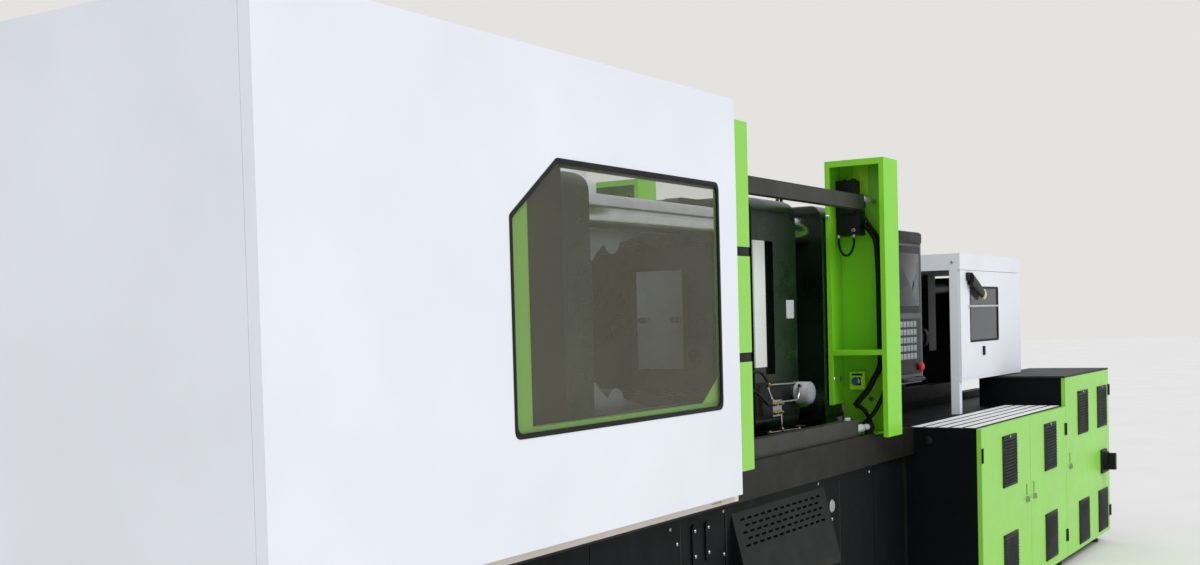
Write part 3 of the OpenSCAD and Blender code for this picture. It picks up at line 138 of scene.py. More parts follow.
def skin(points, wrap=True, loop=False, caps=True):
    """Faces over a grid of points: quads between neighbouring rows and columns.

    wrap joins the last column to the first, loop joins the last row to the first, and
    caps closes the first and the last row with one flat face each.
    """
    rows, cols = points.shape[:2]
    i = np.arange(rows if loop else rows - 1)[:, None]
    j = np.arange(cols if wrap else cols - 1)[None, :]
    a, b = i * cols, ((i + 1) % rows) * cols
    k = (j + 1) % cols
    quads = np.stack([a + j, a + k, b + k, b + j], -1).reshape(-1, 4).tolist()
    if caps and not loop:
        first = np.arange(cols)
        quads += [first[::-1].tolist(), (first + (rows - 1) * cols).tolist()]
    return points.reshape(-1, 3), quads


def round_outline(w, h, r, steps=5):
    """Rectangle w by h with quarter circles of radius r at its corners, as (u, v)."""
    t = np.linspace(0, np.pi / 2, steps)
    a = t + np.arange(4)[:, None] * np.pi / 2
    sx, sy = np.array([1, -1, -1, 1]), np.array([1, 1, -1, -1])
    u = sx[:, None] * (w / 2 - r) + r * np.cos(a)
    v = sy[:, None] * (h / 2 - r) + r * np.sin(a)
    return np.stack([u.ravel(), v.ravel()], -1)


def pad(at, side, w, h, t, corner=0.0, edge=0.0):
    """Plate on a side: a rounded rectangle raised by t, its front edge turned over by edge.

    at is the middle of its back face. The rows are outlines at rising heights, and the
    last ones are drawn in by 0.3 and 1 times the edge. No corner or edge is quite sharp.
    """
    u, v, n = (np.array(a, float) for a in SIDES[side])
    corner, edge = max(corner, 0.4), max(edge, 0.2)
    levels = [(0, 0), (t - edge, 0), (t - 0.3 * edge, 0.3 * edge), (t, edge)]
    rows = []
    for height, inset in levels:
        o = round_outline(w - 2 * inset, h - 2 * inset, max(corner - inset, 0.3))
        rows.append(np.array(at) + o[:, :1] * u + o[:, 1:] * v + height * n)
    return skin(np.stack(rows))


def lathe(at, side, profile, sides=24, loop=False):
    """Profile of (radius, height) pairs turned round the side's normal through at.

    With loop the profile closes on itself and makes a ring, otherwise its ends are capped.
    """
    u, v, n = (np.array(a, float) for a in SIDES[side])
    p = np.array(profile, float)
    a = np.arange(sides) * TURN / sides
    ring = np.cos(a)[:, None] * u + np.sin(a)[:, None] * v
    rows = np.array(at) + p[:, 1, None, None] * n + p[:, 0, None, None] * ring
    return skin(rows, loop=loop)


def bend(points, radius, steps=6):
    """Path whose inner corners are replaced by parabolic arcs that start radius away."""
    p = np.array(points, float)
    before, after = p[:-2] - p[1:-1], p[2:] - p[1:-1]
    la, lb = (np.linalg.norm(d, axis=1, keepdims=True) for d in (before, after))
    reach = np.minimum(radius, 0.45 * np.minimum(la, lb))
    a, b = p[1:-1] + before / la * reach, p[1:-1] + after / lb * reach
    t = np.linspace(0, 1, steps)[None, :, None]
    arcs = (1 - t) ** 2 * a[:, None] + 2 * t * (1 - t) * p[1:-1, None] + t**2 * b[:, None]
    return np.concatenate([p[:1], arcs.reshape(-1, 3), p[-1:]])


def smooth_path(points, per=6):
    """Path through the points by the Catmull-Rom rule, with per steps between two points."""
    p = np.array(points, float)
    p = np.concatenate([2 * p[:1] - p[1:2], p, 2 * p[-1:] - p[-2:-1]])
    t = np.linspace(0, 1, per, endpoint=False)[None, :, None]
    a, b, c, d = (p[k : len(p) - 3 + k, None] for k in range(4))
    q = 0.5 * (2 * b + (c - a) * t + (2 * a - 5 * b + 4 * c - d) * t**2
               + (3 * b - a - 3 * c + d) * t**3)
    return np.concatenate([q.reshape(-1, 3), p[-2:-1]])


def tube(path, r, sides=10, across=(0, 1, 0)):
    """Circle of radius r carried along a path; across is a direction the path never takes."""
    p = np.array(path, float)
    t = np.gradient(p, axis=0)
    t /= np.linalg.norm(t, axis=1, keepdims=True)
    u = np.cross(t, np.array(across, float))
    u /= np.linalg.norm(u, axis=1, keepdims=True)
    v = np.cross(t, u)
    a = np.arange(sides) * TURN / sides
    rows = p[:, None] + r * (np.cos(a)[:, None] * u[:, None] + np.sin(a)[:, None] * v[:, None])
    return skin(rows)


def prism(profile, origin, a_axis, b_axis, along):
    """Closed profile of (a, b) pairs carried straight along a vector."""
    p = np.array(profile, float)
    face = np.array(origin) + p[:, :1] * np.array(a_axis, float) + p[:, 1:] * np.array(b_axis, float)
    return skin(np.stack([face, face + np.array(along, float)]))


def screw(at, side, r, hexagon=False):
    """Panel screw: a domed head with a round recess, or a hexagon head on a washer."""
    if hexagon:
        washer = lathe(at, side, [(1.35 * r, 0), (1.35 * r, 0.2 * r), (1.2 * r, 0.25 * r)])
        head = lathe(at, side, [(r, 0.2 * r), (r, 0.85 * r), (0.86 * r, r)], 6)
        return [washer, head]
    dome = [(r, 0), (r, 0.25 * r), (0.8 * r, 0.5 * r), (0.45 * r, 0.6 * r), (0.42 * r, 0.25 * r)]
    return [lathe(at, side, dome, 16)]


def screws(places, side, r):
    """Panel screws at several places on one side."""
    return [part for place in places for part in screw(place, side, r)]


def ribbed_tube(path, r, pitch, depth, sides=14):
    """Corrugated conduit: a tube whose radius falls by depth between ribs a pitch apart.

    The path is cut into even steps of a quarter pitch, and the radius is
    r - depth * (1 - cos(2 pi s / pitch)) / 2 at the distance s along it.
    """
    p = np.array(path, float)
    d = np.concatenate([[0], np.cumsum(np.linalg.norm(np.diff(p, axis=0), axis=1))])
    s = np.arange(0, d[-1], pitch / 4)
    q = np.stack([np.interp(s, d, p[:, k]) for k in range(3)], -1)
    t = np.gradient(q, axis=0)
    t /= np.linalg.norm(t, axis=1, keepdims=True)
    u = np.cross(t, (1.0, 0, 0))
    u /= np.linalg.norm(u, axis=1, keepdims=True)
    v = np.cross(t, u)
    a = np.arange(sides) * TURN / sides
    ring = np.cos(a)[:, None] * u[:, None] + np.sin(a)[:, None] * v[:, None]
    radius = (r - depth * (1 - np.cos(TURN * s / pitch)) / 2)[:, None, None]
    return skin(q[:, None] + radius * ring)


def thread(at, side, r, length, pitch):
    """Threaded rod or spring sleeve: a saw-tooth profile of the given pitch turned round."""
    n = int(length / pitch)
    heights = np.repeat(np.arange(n + 1) * pitch, 2)[1:-1]
    radii = np.tile([r - 0.3 * pitch, r], n)
    return lathe(at, side, np.stack([radii, heights], -1), 16)


def nut(at, side, r, t):
    """Hexagon nut with its two faces turned down to a circle at the corners."""
    return lathe(at, side, [(0.86 * r, 0), (r, 0.12 * t), (r, 0.88 * t), (0.86 * r, t)], 6)


def grow_outline(corners, grow):
    """Polygon moved outwards by grow: each corner along its two edges' summed normals."""
    p = np.array(corners, float)
    d = np.roll(p, -1, 0) - p
    d /= np.linalg.norm(d, axis=1, keepdims=True)
    n = np.stack([d[:, 1], -d[:, 0]], -1)
    m = np.roll(n, 1, 0)
    return p + grow * (n + m) / (1 + (n * m).sum(1, keepdims=True))


def round_corners(corners, radii, steps=6):
    """Closed polygon whose corners are parabolic arcs that start radii away."""
    p, r = np.array(corners, float), np.array(radii, float)[:, None]
    before, after = np.roll(p, 1, 0) - p, np.roll(p, -1, 0) - p
    a = p + before / np.linalg.norm(before, axis=1, keepdims=True) * r
    b = p + after / np.linalg.norm(after, axis=1, keepdims=True) * r
    t = np.linspace(0, 1, steps)[None, :, None]
    q = (1 - t) ** 2 * a[:, None] + 2 * t * (1 - t) * p[:, None] + t**2 * b[:, None]
    return q.reshape(-1, 2)


MATERIALS = {}


def piece(name, parts, finish, body="machine", smooth=35.0, mirror=False):
    """One object from several skins in millimetres, smooth below an angle in degrees.

    The normals are turned outwards, and mirror puts the piece on the rear side.
    """
    verts, faces, start = [], [], 0
    for v, f in parts:
        verts.append(v)
        faces += [[k + start for k in q] for q in f]
        start += len(v)
    co = np.concatenate(verts) * MM
    if mirror:
        co = co * (1, -1, 1)
    mesh = bpy.data.meshes.new(name)
    mesh.from_pydata(co.tolist(), [], faces)
    bm = bmesh.new()
    bm.from_mesh(mesh)
    bmesh.ops.recalc_face_normals(bm, faces=bm.faces)
    bm.to_mesh(mesh)
    bm.free()
    mesh.polygons.foreach_set("use_smooth", np.ones(len(mesh.polygons), bool))
    mesh.set_sharp_from_angle(angle=np.radians(smooth))
    mesh.materials.append(MATERIALS[finish])
    obj = bpy.data.objects.new(name, mesh)
    bpy.context.scene.collection.objects.link(obj)
    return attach(obj, body)


def cord(name, way, r, rib=None, body="machine",
         across=(1, 0, 0), stands_for=None):
    """Its length is the route's, in metres, and both of its ends meet the machine.
    """
    coat = ribbed_tube(way, r, *rib) if rib else tube(way, r, 12, across)
    obj = piece(name, [coat], "rubber", body, smooth=60)
    if stands_for:
        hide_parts(stands_for)


# Materials


def add(tree, kind, links=None, **settings):
    """Adds a node, sets its settings, and fills its inputs with values or other outputs."""
    node = tree.nodes.new(kind)
    for key, value in settings.items():
        setattr(node, key, value)
    for key, value in (links or {}).items():
        if isinstance(value, bpy.types.NodeSocket):
            tree.links.new(value, node.inputs[key])
        else:
            node.inputs[key].default_value = value
    return node


def shader(name, **values):
    """Empty material with a Principled shader whose sockets hold the given values."""
    mat = bpy.data.materials.new(name)
    mat.use_nodes = True
    tree = mat.node_tree
    tree.nodes.clear()
    bsdf = add(tree, "ShaderNodeBsdfPrincipled", {k.replace("_", " "): v for k, v in values.items()})
    add(tree, "ShaderNodeOutputMaterial", {"Surface": bsdf.outputs[0]})
    coord = add(tree, "ShaderNodeTexCoord").outputs["Object"]
    return mat, tree, bsdf, coord


def noise(tree, coord, mm, detail=2.0, rough=0.5):
    """Value of a noise whose features are mm millimetres across."""
    return add(tree, "ShaderNodeTexNoise", {
        "Vector": coord, "Scale": 1000.0 / mm, "Detail": detail, "Roughness": rough,
    }).outputs["Fac"]


def spread(tree, value, low, high, a=0.0, b=1.0):
    """Maps low..high of a value onto a..b."""
    return add(tree, "ShaderNodeMapRange", {0: value, 1: low, 2: high, 3: a, 4: b}).outputs[0]


def blend_colour(tree, factor, a, b):
    """Mixes two colours, given as values or sockets, by a factor."""
    node = add(tree, "ShaderNodeMix", data_type="RGBA")
    for index, value in ((0, factor), (6, a), (7, b)):
        if isinstance(value, bpy.types.NodeSocket):
            tree.links.new(value, node.inputs[index])
        else:
            node.inputs[index].default_value = value
    return node.outputs[2]


def facing_up(tree):
    """Z of the surface's normal, 1 where it looks straight up."""
    normal = add(tree, "ShaderNodeNewGeometry").outputs["Normal"]
    return add(tree, "ShaderNodeSeparateXYZ", {0: normal}).outputs["Z"]


def emboss(tree, bsdf, height, strength, distance):
    """Bumps on the shader's normal, from a height map and a distance in metres."""
    bump = add(tree, "ShaderNodeBump", {
        "Height": height, "Strength": strength, "Distance": distance})
    tree.links.new(bump.outputs[0], bsdf.inputs["Normal"])


def shade(colour, k):
    """Colour made k times as bright."""
    return tuple(min(1.0, c * k) for c in colour[:3]) + (1.0,)


def dust(tree, coord, strength):
    """Share of dust: patches 140 mm across, thickest where a face looks upwards."""
    lying = spread(tree, facing_up(tree), 0.2, 1.0, 0.25)
    patch = spread(tree, noise(tree, coord, 140, 5, 0.65), 0.42, 0.72, 0.0, strength)
    return add(tree, "ShaderNodeMath", {0: lying, 1: patch}, operation="MULTIPLY").outputs[0]


def powder_coat(name, colour, rough=0.34, grain=7.0, relief=0.06, dusty=0.0, level=0.5):
    """Sprayed and baked powder coat: an even colour with a faint orange-peel relief."""
    mat, tree, bsdf, coord = shader(name, IOR=1.5)
    bsdf.inputs["Specular IOR Level"].default_value = level
    tone = spread(tree, noise(tree, coord, 420, 3), 0.3, 0.7)
    base = blend_colour(tree, tone, shade(colour, 0.965), shade(colour, 1.03))
    if dusty:
        base = blend_colour(tree, dust(tree, coord, dusty), base, linear("#5A574F"))
    tree.links.new(base, bsdf.inputs["Base Color"])
    handled = spread(tree, noise(tree, coord, 95, 4, 0.6), 0.3, 0.75, rough, rough + 0.12)
    tree.links.new(handled, bsdf.inputs["Roughness"])
    emboss(tree, bsdf, noise(tree, coord, grain, 1.5), relief, 0.0006)
    return mat


def casting_enamel(name, colour):
    """Brushed enamel on sand-cast iron: glossy, over a coarse cast skin, oily in patches."""
    mat, tree, bsdf, coord = shader(name, IOR=1.5)
    bsdf.inputs["Specular IOR Level"].default_value = 0.32
    oil = spread(tree, noise(tree, coord, 160, 5, 0.6), 0.4, 0.7)
    base = blend_colour(tree, oil, colour, shade(colour, 0.55))
    tree.links.new(base, bsdf.inputs["Base Color"])
    tree.links.new(spread(tree, oil, 0, 1, 0.36, 0.18), bsdf.inputs["Roughness"])
    emboss(tree, bsdf, noise(tree, coord, 16, 4, 0.6), 0.35, 0.0012)
    return mat


def machined_steel(name, colour, rough=0.3, lay=(1, 1, 1)):
    """Turned or ground steel: fine marks stretched along the lay, and light handling stains."""
    mat, tree, bsdf, coord = shader(name, Metallic=1.0)
    stretched = add(tree, "ShaderNodeMapping", {"Vector": coord, "Scale": lay}).outputs[0]
    marks = noise(tree, stretched, 2.5, 3, 0.6)
    stain = spread(tree, noise(tree, coord, 70, 4, 0.6), 0.35, 0.75)
    base = blend_colour(tree, stain, colour, shade(colour, 0.8))
    tree.links.new(base, bsdf.inputs["Base Color"])
    gloss = spread(tree, marks, 0.3, 0.7, rough - 0.07, rough + 0.09)
    tree.links.new(gloss, bsdf.inputs["Roughness"])
    emboss(tree, bsdf, marks, 0.12, 0.0003)
    return mat


def moulded_plastic(name, colour, rough=0.4):
    """Moulded ABS or rubber: an even colour with a fine spark-eroded grain."""
    mat, tree, bsdf, coord = shader(name, IOR=1.53)
    bsdf.inputs["Specular IOR Level"].default_value = 0.3
    tone = spread(tree, noise(tree, coord, 60, 3), 0.3, 0.7)
    tree.links.new(blend_colour(tree, tone, shade(colour, 0.92), shade(colour, 1.06)),
                   bsdf.inputs["Base Color"])
    tree.links.new(spread(tree, tone, 0, 1, rough, rough + 0.08), bsdf.inputs["Roughness"])
    emboss(tree, bsdf, noise(tree, coord, 4, 2), 0.1, 0.0004)
    return mat


def ribbed_foam(name, colour, shaded_side_colour):
    """Foam strips, white on top and dark grey down the sides, the grey being painted shade for the
    gaps between the strips.
    """
    mat, tree, bsdf, coord = shader(name, IOR=1.5, Roughness=0.6)
    # White where a face looks up, grey on the sides: painted shade in the gaps between the strips.
    top = spread(tree, facing_up(tree), 0.4, 0.6)
    tone = spread(tree, noise(tree, coord, 60, 3), 0.3, 0.7)
    white = blend_colour(tree, tone, shade(colour, 0.92), shade(colour, 1.04))
    tree.links.new(blend_colour(tree, top, shaded_side_colour, white), bsdf.inputs["Base Color"])
    return mat


def smoked_acrylic(name, colour, alpha):
    """Cast acrylic sheet with a smoke tint: clear gloss, faint wiping haze."""
    mat, tree, bsdf, coord = shader(name, IOR=1.49, Alpha=alpha)
    haze = spread(tree, noise(tree, coord, 220, 4, 0.6), 0.35, 0.75)
    tree.links.new(blend_colour(tree, haze, colour, shade(colour, 1.25)), bsdf.inputs["Base Color"])
    tree.links.new(spread(tree, haze, 0, 1, 0.05, 0.14), bsdf.inputs["Roughness"])
    return mat


class MOULD_OT_finishes(bpy.types.Operator):
    """Make the materials and put them on the frame's nodes."""

    bl_idname = "mould.finishes"
    bl_label = "Finishes"

    def execute(self, context):
        f = context.scene.machine_finish
        m = MATERIALS
        m["green"] = powder_coat("Powder_coated_steel_green", tuple(f.green), 0.3)
        m["white"] = powder_coat("Powder_coated_steel_white", tuple(f.white), 0.32)
        m["cream"] = powder_coat("Painted_steel_cream", tuple(f.cream), 0.4)
        m["column"] = powder_coat("Powder_coated_steel_column_green", tuple(f.column), 0.3)
        # lit_green is the column's green made brighter and yellower: painted light on the button box
        # and the column's top plate, whose faces look towards -X and catch the light.
        m["lit_green"] = powder_coat("Powder_coated_green_painted_light", linear("#B6F028"), 0.36)
        m["black"] = powder_coat(
            "Powder_coated_steel_black", tuple(f.black), 0.42, 5, 0.16, 0.12, level=0.2)
        m["frame"] = powder_coat(
            "Powder_coated_steel_warm_black", linear("#14130E"), 0.42, 5, 0.16, 0.2, level=0.2)
        m["panel"] = powder_coat(
            "Powder_coated_sheet_black", linear("#070A0D"), 0.5, 5, 0.16, 0.05, level=0.1)
        m["lamp"] = moulded_plastic("Frosted_lamp_lens", linear("#D8CC8A"), 0.4)
        m["top"] = powder_coat(
            "Textured_paint_dark_grey", linear("#1E2020"), 0.5, 4, 0.3, 0.4, level=0.3)
        m["rail"] = powder_coat("Painted_rail_steel", tuple(f.rail), 0.4, 9, 0.1, 0.25, level=0.35)
        m["casing"] = powder_coat("Painted_casing_grey", tuple(f.casing), 0.42, 3, 0.14)
        m["casting"] = casting_enamel("Enamelled_cast_iron", tuple(f.casting))
        m["steel"] = machined_steel("Ground_steel", tuple(f.steel), 0.3)
        m["links"] = machined_steel("Milled_steel_blued", linear("#6C7478"), 0.34)
        m["bar"] = machined_steel("Chromed_round_bar", linear("#C9CCCE"), 0.16, (0.05, 1, 1))
        m["zinc"] = machined_steel("Zinc_plated_steel", linear("#C4C5C1"), 0.26)
        m["brass"] = machined_steel("Turned_brass", linear("#A08A5C"), 0.3)
        m["plastic"] = moulded_plastic("Moulded_black_plastic", linear("#0B0C0C"), 0.42)
        m["rubber"] = moulded_plastic("Moulded_black_rubber", linear("#080908"), 0.55)
        m["blue"] = moulded_plastic("Moulded_blue_plastic", linear("#1A66B5"), 0.28)
        m["red"] = moulded_plastic("Moulded_red_plastic", linear("#C4201A"), 0.3)
        # The grey #3A3A3C of the foam's sides is painted shade for the gaps between the strips.
        m["foam"] = ribbed_foam("Foamed_polyethylene_white", linear("#ECEDEE"), linear("#3A3A3C"))
        m["label"] = moulded_plastic("Anodised_blank_plate", linear("#B9BDBE"), 0.4)
        m["plate"] = powder_coat("Painted_plate_white", linear("#DADDD9"), 0.36)
        # At 22 % opacity the pale warm grey is partly smoke tint and partly painted reflection of the
        # surroundings.
        m["pane"] = smoked_acrylic("Smoked_acrylic_with_painted_reflection", tuple(f.pane), 0.22)
        m["guard_pane"] = smoked_acrylic("Smoked_acrylic_dark", linear("#2A2C2A"), 0.84)
        m["screen"] = smoked_acrylic("Display_glass", linear("#0B0E12"), 1.0)
        m["key"] = moulded_plastic("Membrane_key_grey", linear("#8C9193"), 0.45)
        wears = {
            "green": "cabinet_door_1 cabinet_door_2 cabinet_door_3 door_frame",
            "column": "columns",
            # The button box wears lit_green, painted light on its lit face, instead of the column
            # green that it shares with its column.
            "lit_green": "button_box",
            "white": "front_door rear_door end_cover top_cover injection_guard guard_door",
            "cream": "door_sill",
            "frame": "clamp_frame",
            "panel": "frame_panels injection_frame cabinet_shell",
            # The side covers wear the black coat as painted shade: a dark sheet behind the door
            # windows that stands for the shade inside the machine.
            "black": "vent_hood pump_cover carriage thrust_plate clamp_cylinder injection_cylinders "
                     "side_covers",
            "top": "cabinet_top levelling_mounts",
            "rail": "door_rails",
            "casing": "operator_panel panel_post",
            "casting": "stationary_platen moving_platen tail_stock",
            "steel": "ejector lubrication_block adjusting_nuts tie_bar_nuts platen_shoes",
            "links": "rear_link_upper rear_link_lower front_link_upper front_link_lower crosshead "
                     "crosshead_link_upper crosshead_link_lower barrel",
            "bar": "tie_bars screw",
            "zinc": "heater_bands cabinet_lock_1 cabinet_lock_2 cabinet_lock_3",
            "plastic": "limit_switch main_switch",
            "rubber": "column_cables",
            "blue": "reset_button",
            "red": "emergency_stop",
            "foam": "deck_strips",
            "pane": "door_glass rear_glass",
            "guard_pane": "guard_glass",
        }
        for finish, nodes in wears.items():
            for node in nodes.split():
                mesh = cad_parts[node].data
                mesh.materials.clear()
                mesh.materials.append(m[finish])
        return {"FINISHED"}


def window_corners(shift):
    """Window outline in X and Z, counter-clockwise seen from the front, with its cut corner."""
    x0, z0, w, h, cut_w, cut_h = -2386 + shift, 1048, 1135, 690, 215, 152
    return [(x0, z0), (x0 + w, z0), (x0 + w, z0 + h), (x0 + cut_w, z0 + h), (x0, z0 + h - cut_h)]


def gasket(name, corners, radii, face, scale, body, mirror=False):
    """Rubber section, made smaller by scale, carried round a window's outline.

    face is the Y of the pane's front, and radii are the reaches of the rounded corners.
    """
    w = to_mm(bpy.context.scene.machine_fittings.gasket_w)
    section = [(-0.45 * w, 0), (-0.45 * w, -5), (-0.2 * w, -6.5), (0.4 * w, -6.5),
               (0.55 * w, -5), (0.55 * w, -3.9)]
    rows = []
    for grow, out in section:
        o = round_corners(grow_outline(corners, grow * scale), radii)
        rows.append(np.stack([o[:, 0], np.full(len(o), face + out * scale), o[:, 1]], -1))
    piece(name, [skin(np.stack(rows), loop=True)], "rubber", body, mirror=mirror)


class MOULD_OT_window_gaskets(bpy.types.Operator):
    """Rubber round the windows of the two sliding doors and of the guard."""

    bl_idname = "mould.window_gaskets"
    bl_label = "Window gaskets"

    def execute(self, context):
        radii = [26, 26, 26, 8, 8]
        gasket("gasket_front_window", window_corners(0), radii, DOOR_PANE, 1, "front_door")
        gasket("gasket_rear_window", window_corners(REAR_SHIFT), radii, DOOR_PANE, 1, "rear_door",
               mirror=True)
        x0, x1, z0, z1 = 1720, 2208, 1180, 1444
        corners = [(x0, z0), (x1, z0), (x1, z1), (x0, z1)]
        gasket("gasket_guard_window", corners, [10] * 4, -582, 0.8, "guard_door")
        return {"FINISHED"}


def louvre_plate(x, y, z, w, blades):
    """Square plate of slanted blades: a profile in depth, carried along X.

    Each pitch holds a gap 0.5 mm deep and then a blade that leans out to 11 mm over it.
    """
    rim, cap, gap = 10, 12, 0.46
    pitch = (w - 2 * cap) / blades
    start = (np.arange(blades) / blades - 0.5) * (w - 2 * cap)
    v = (start[:, None] + pitch * np.array([0, gap, gap, 1])).ravel()
    out = np.tile([0.5, 0.5, 11, 1.5], blades)
    closed = np.concatenate([[[v[0], -1]], np.stack([v, out], -1), [[v[-1], -1]]])
    block = prism(closed, (x - w / 2 + 8, y, z), (0, 0, 1), (0, -1, 0), (w - 16, 0, 0))
    sides = [pad((x + s * (w - rim) / 2, y, z), "-y", rim, w, 5, 2, 1) for s in (-1, 1)]
    ends = [pad((x, y, z + s * (w - cap) / 2), "-y", w, cap, 5, 2, 1) for s in (-1, 1)]
    return [block] + sides + ends


class MOULD_OT_cabinet_fittings(bpy.types.Operator):
    """Louvre plates, hinges, top screws and the switch's plate on the cabinet doors."""

    bl_idname = "mould.cabinet_fittings"
    bl_label = "Cabinet fittings"

    def execute(self, context):
        s = context.scene.machine_fittings
        y, w, middle_z = -915, to_mm(s.vent_w), 500
        vents = {
            "1": [(1154, 658), (1154, 220)],
            "2": [(1887, 658), (1887, 220)],
            "3": [(2593, 778), (2593, 200), (3058, 778), (3058, 200)],
        }
        for number, places in vents.items():
            body = "cabinet_door_" + number
            plates = [part for x, z in places for part in louvre_plate(x, y, z, w, s.vent_blades)]
            piece("louvres_" + number, plates, "top", body)
            upper = [(x, y - 5, z + w / 2 - 8) for x, z in places if z > middle_z]
            piece("louvre_screws_" + number, screws(upper, "-y", to_mm(s.screw_r)), "zinc", body)
        # X of the hinges' axis, the way their leaves point, and the upper hinge's height
        hinges = {"1": (725.5, 1, 716), "2": (2209.5, -1, 716), "3": (3239.5, -1, 861)}
        axis_y, low, h = -919, 175, 62
        knuckle = [(3.6, 0), (4.5, 1), (4.5, h - 1), (3.6, h)]
        for number, (x, way, high) in hinges.items():
            parts = []
            for z in (low, high):
                parts.append(lathe((x, axis_y, z - h / 2), "+z", knuckle, 16))
                parts.append(pad((x + way * 12, y, z), "-y", 23, h, 2.8, 3, 0.6))
            piece("hinges_" + number, parts, "plastic", "cabinet_door_" + number)
        piece("switch_plate", [pad((3075, y, 469), "-y", 132, 132, 12, 10, 3)], "plastic",
              "cabinet_door_3")
        for number, x, z in (("1", 1439, 451), ("2", 1565, 451), ("3", 2291, 518)):
            slot = [pad((x, y, z + 44), "-y", 6, 52, 2, 3, 0.6)]
            piece("lock_slot_" + number, slot, "casing", "cabinet_door_" + number)
        boss = [(17, 0), (17, 3), (12, 4), (11, 7), (4, 8)]
        piece("cabinet_plug", [lathe((722, -689, 778), "-x", boss, 28)], "plastic")
        return {"FINISHED"}


# Routes of the cables and hoses, each from the point where it leaves the machine
CONDUIT = [
    (372, -555.1, 1694.8), (372, -575, 1672), (372, -589, 1652), (372, -599, 1630),
    (372, -605, 1600), (372, -607, 1557), (372, -609, 1500), (372, -610, 1448),
    (372, -610, 1370), (372, -610, 1290), (372, -610, 1213), (370, -611, 1160),
    (366, -612, 1120), (358, -603, 1088), (350, -588, 1060), (345, -571, 1024),
    (345, -555, 1003), (345, -538, 985), (345, -522, 967), (345, -508, 949),
]
SWITCH_LOOP = [
    (331, -457, 1640), (331, -458, 1615), (331, -465, 1590), (331, -477, 1574), (331, -490, 1569),
    (331, -503, 1574), (331, -515, 1591), (331, -522, 1615), (331, -523, 1640),
]
SWITCH_LEAD = [
    (350, -546, 1762), (350, -556, 1738), (350, -574, 1706), (351, -594, 1676),
    (352, -613, 1650), (353, -627, 1618), (354, -635, 1576), (355, -639, 1520),
    (356, -641, 1430), (356, -641, 1330), (356, -641, 1230), (356, -636, 1186),
]
FOOT_BUNDLE = [
    (356, -648, 1080), (352, -642, 1040), (348, -630, 1000), (345, -612, 962),
    (343, -592, 926), (342, -566, 896), (341, -536, 872), (340, -506, 860),
]
FOOT_HOSE = [
    (345, -508, 949), (347, -520, 948), (350, -535, 940), (354, -549, 924), (358, -561, 900),
    (360, -570, 874), (361, -576, 850),
]
GREASE_HOSES = {
    "grease_hose_upper": [
        (-452, -476, 1092), (-476, -476, 1108), (-505, -476, 1124), (-532, -470, 1128),
        (-556, -452, 1122), (-562, -425, 1112), (-548, -398, 1104), (-520, -382, 1098),
        (-490, -376, 1095), (-461, -375, 1095)],
    "grease_hose_lower": [
        (-424, -474, 1000), (-448, -480, 1002), (-478, -484, 1012), (-508, -482, 1032),
        (-538, -470, 1054), (-560, -448, 1070), (-566, -420, 1078), (-548, -392, 1080),
        (-516, -382, 1078), (-490, -380, 1076), (-461, -380, 1075)],
}


class MOULD_OT_leads(bpy.types.Operator):
    """Cables and hoses: the conduit in the column, the switch's loop and the lower bundle."""

    bl_idname = "mould.leads"
    bl_label = "Leads"

    def execute(self, context):
        cable_r = to_mm(context.scene.machine_fittings.cable_r)
        cord("column_conduit", smooth_path(CONDUIT, 5), 13, rib=(9, 1.6),
             stands_for="column_cables")
        cord("switch_loop", smooth_path(SWITCH_LOOP), cable_r)
        cord("switch_lead", smooth_path(SWITCH_LEAD), cable_r)
        cord("foot_bundle", smooth_path(FOOT_BUNDLE), 9)
        cord("foot_hose", smooth_path(FOOT_HOSE, 5), 9, rib=(7, 1.4))
        return {"FINISHED"}


class MOULD_OT_door_trim(bpy.types.Operator):
    """Black blocks in the doors' leading edges and the gusset behind each window."""

    bl_idname = "mould.door_trim"
    bl_label = "Door trim"

    def execute(self, context):
        edge_y, glass_y = -652, -667
        for name, shift, mirror in (("front_door", 0, False), ("rear_door", REAR_SHIFT, True)):
            blocks = [pad((-1071.5 + shift, edge_y, z), "-y", 91, 29.4, 29, 1.5, 1)
                      for z in (1197.3, 1537)]
            piece("edge_blocks_" + name, blocks, "rubber", name, mirror=mirror)
            corners = [(-1355 + shift, 1062), (-1233 + shift, 1062), (-1233 + shift, 1146)]
            gusset = prism(corners, (0, glass_y, 0), (1, 0, 0), (0, 0, 1), (0, 3, 0))
            piece("gusset_" + name, [gusset], "green", name, mirror=mirror)
        return {"FINISHED"}


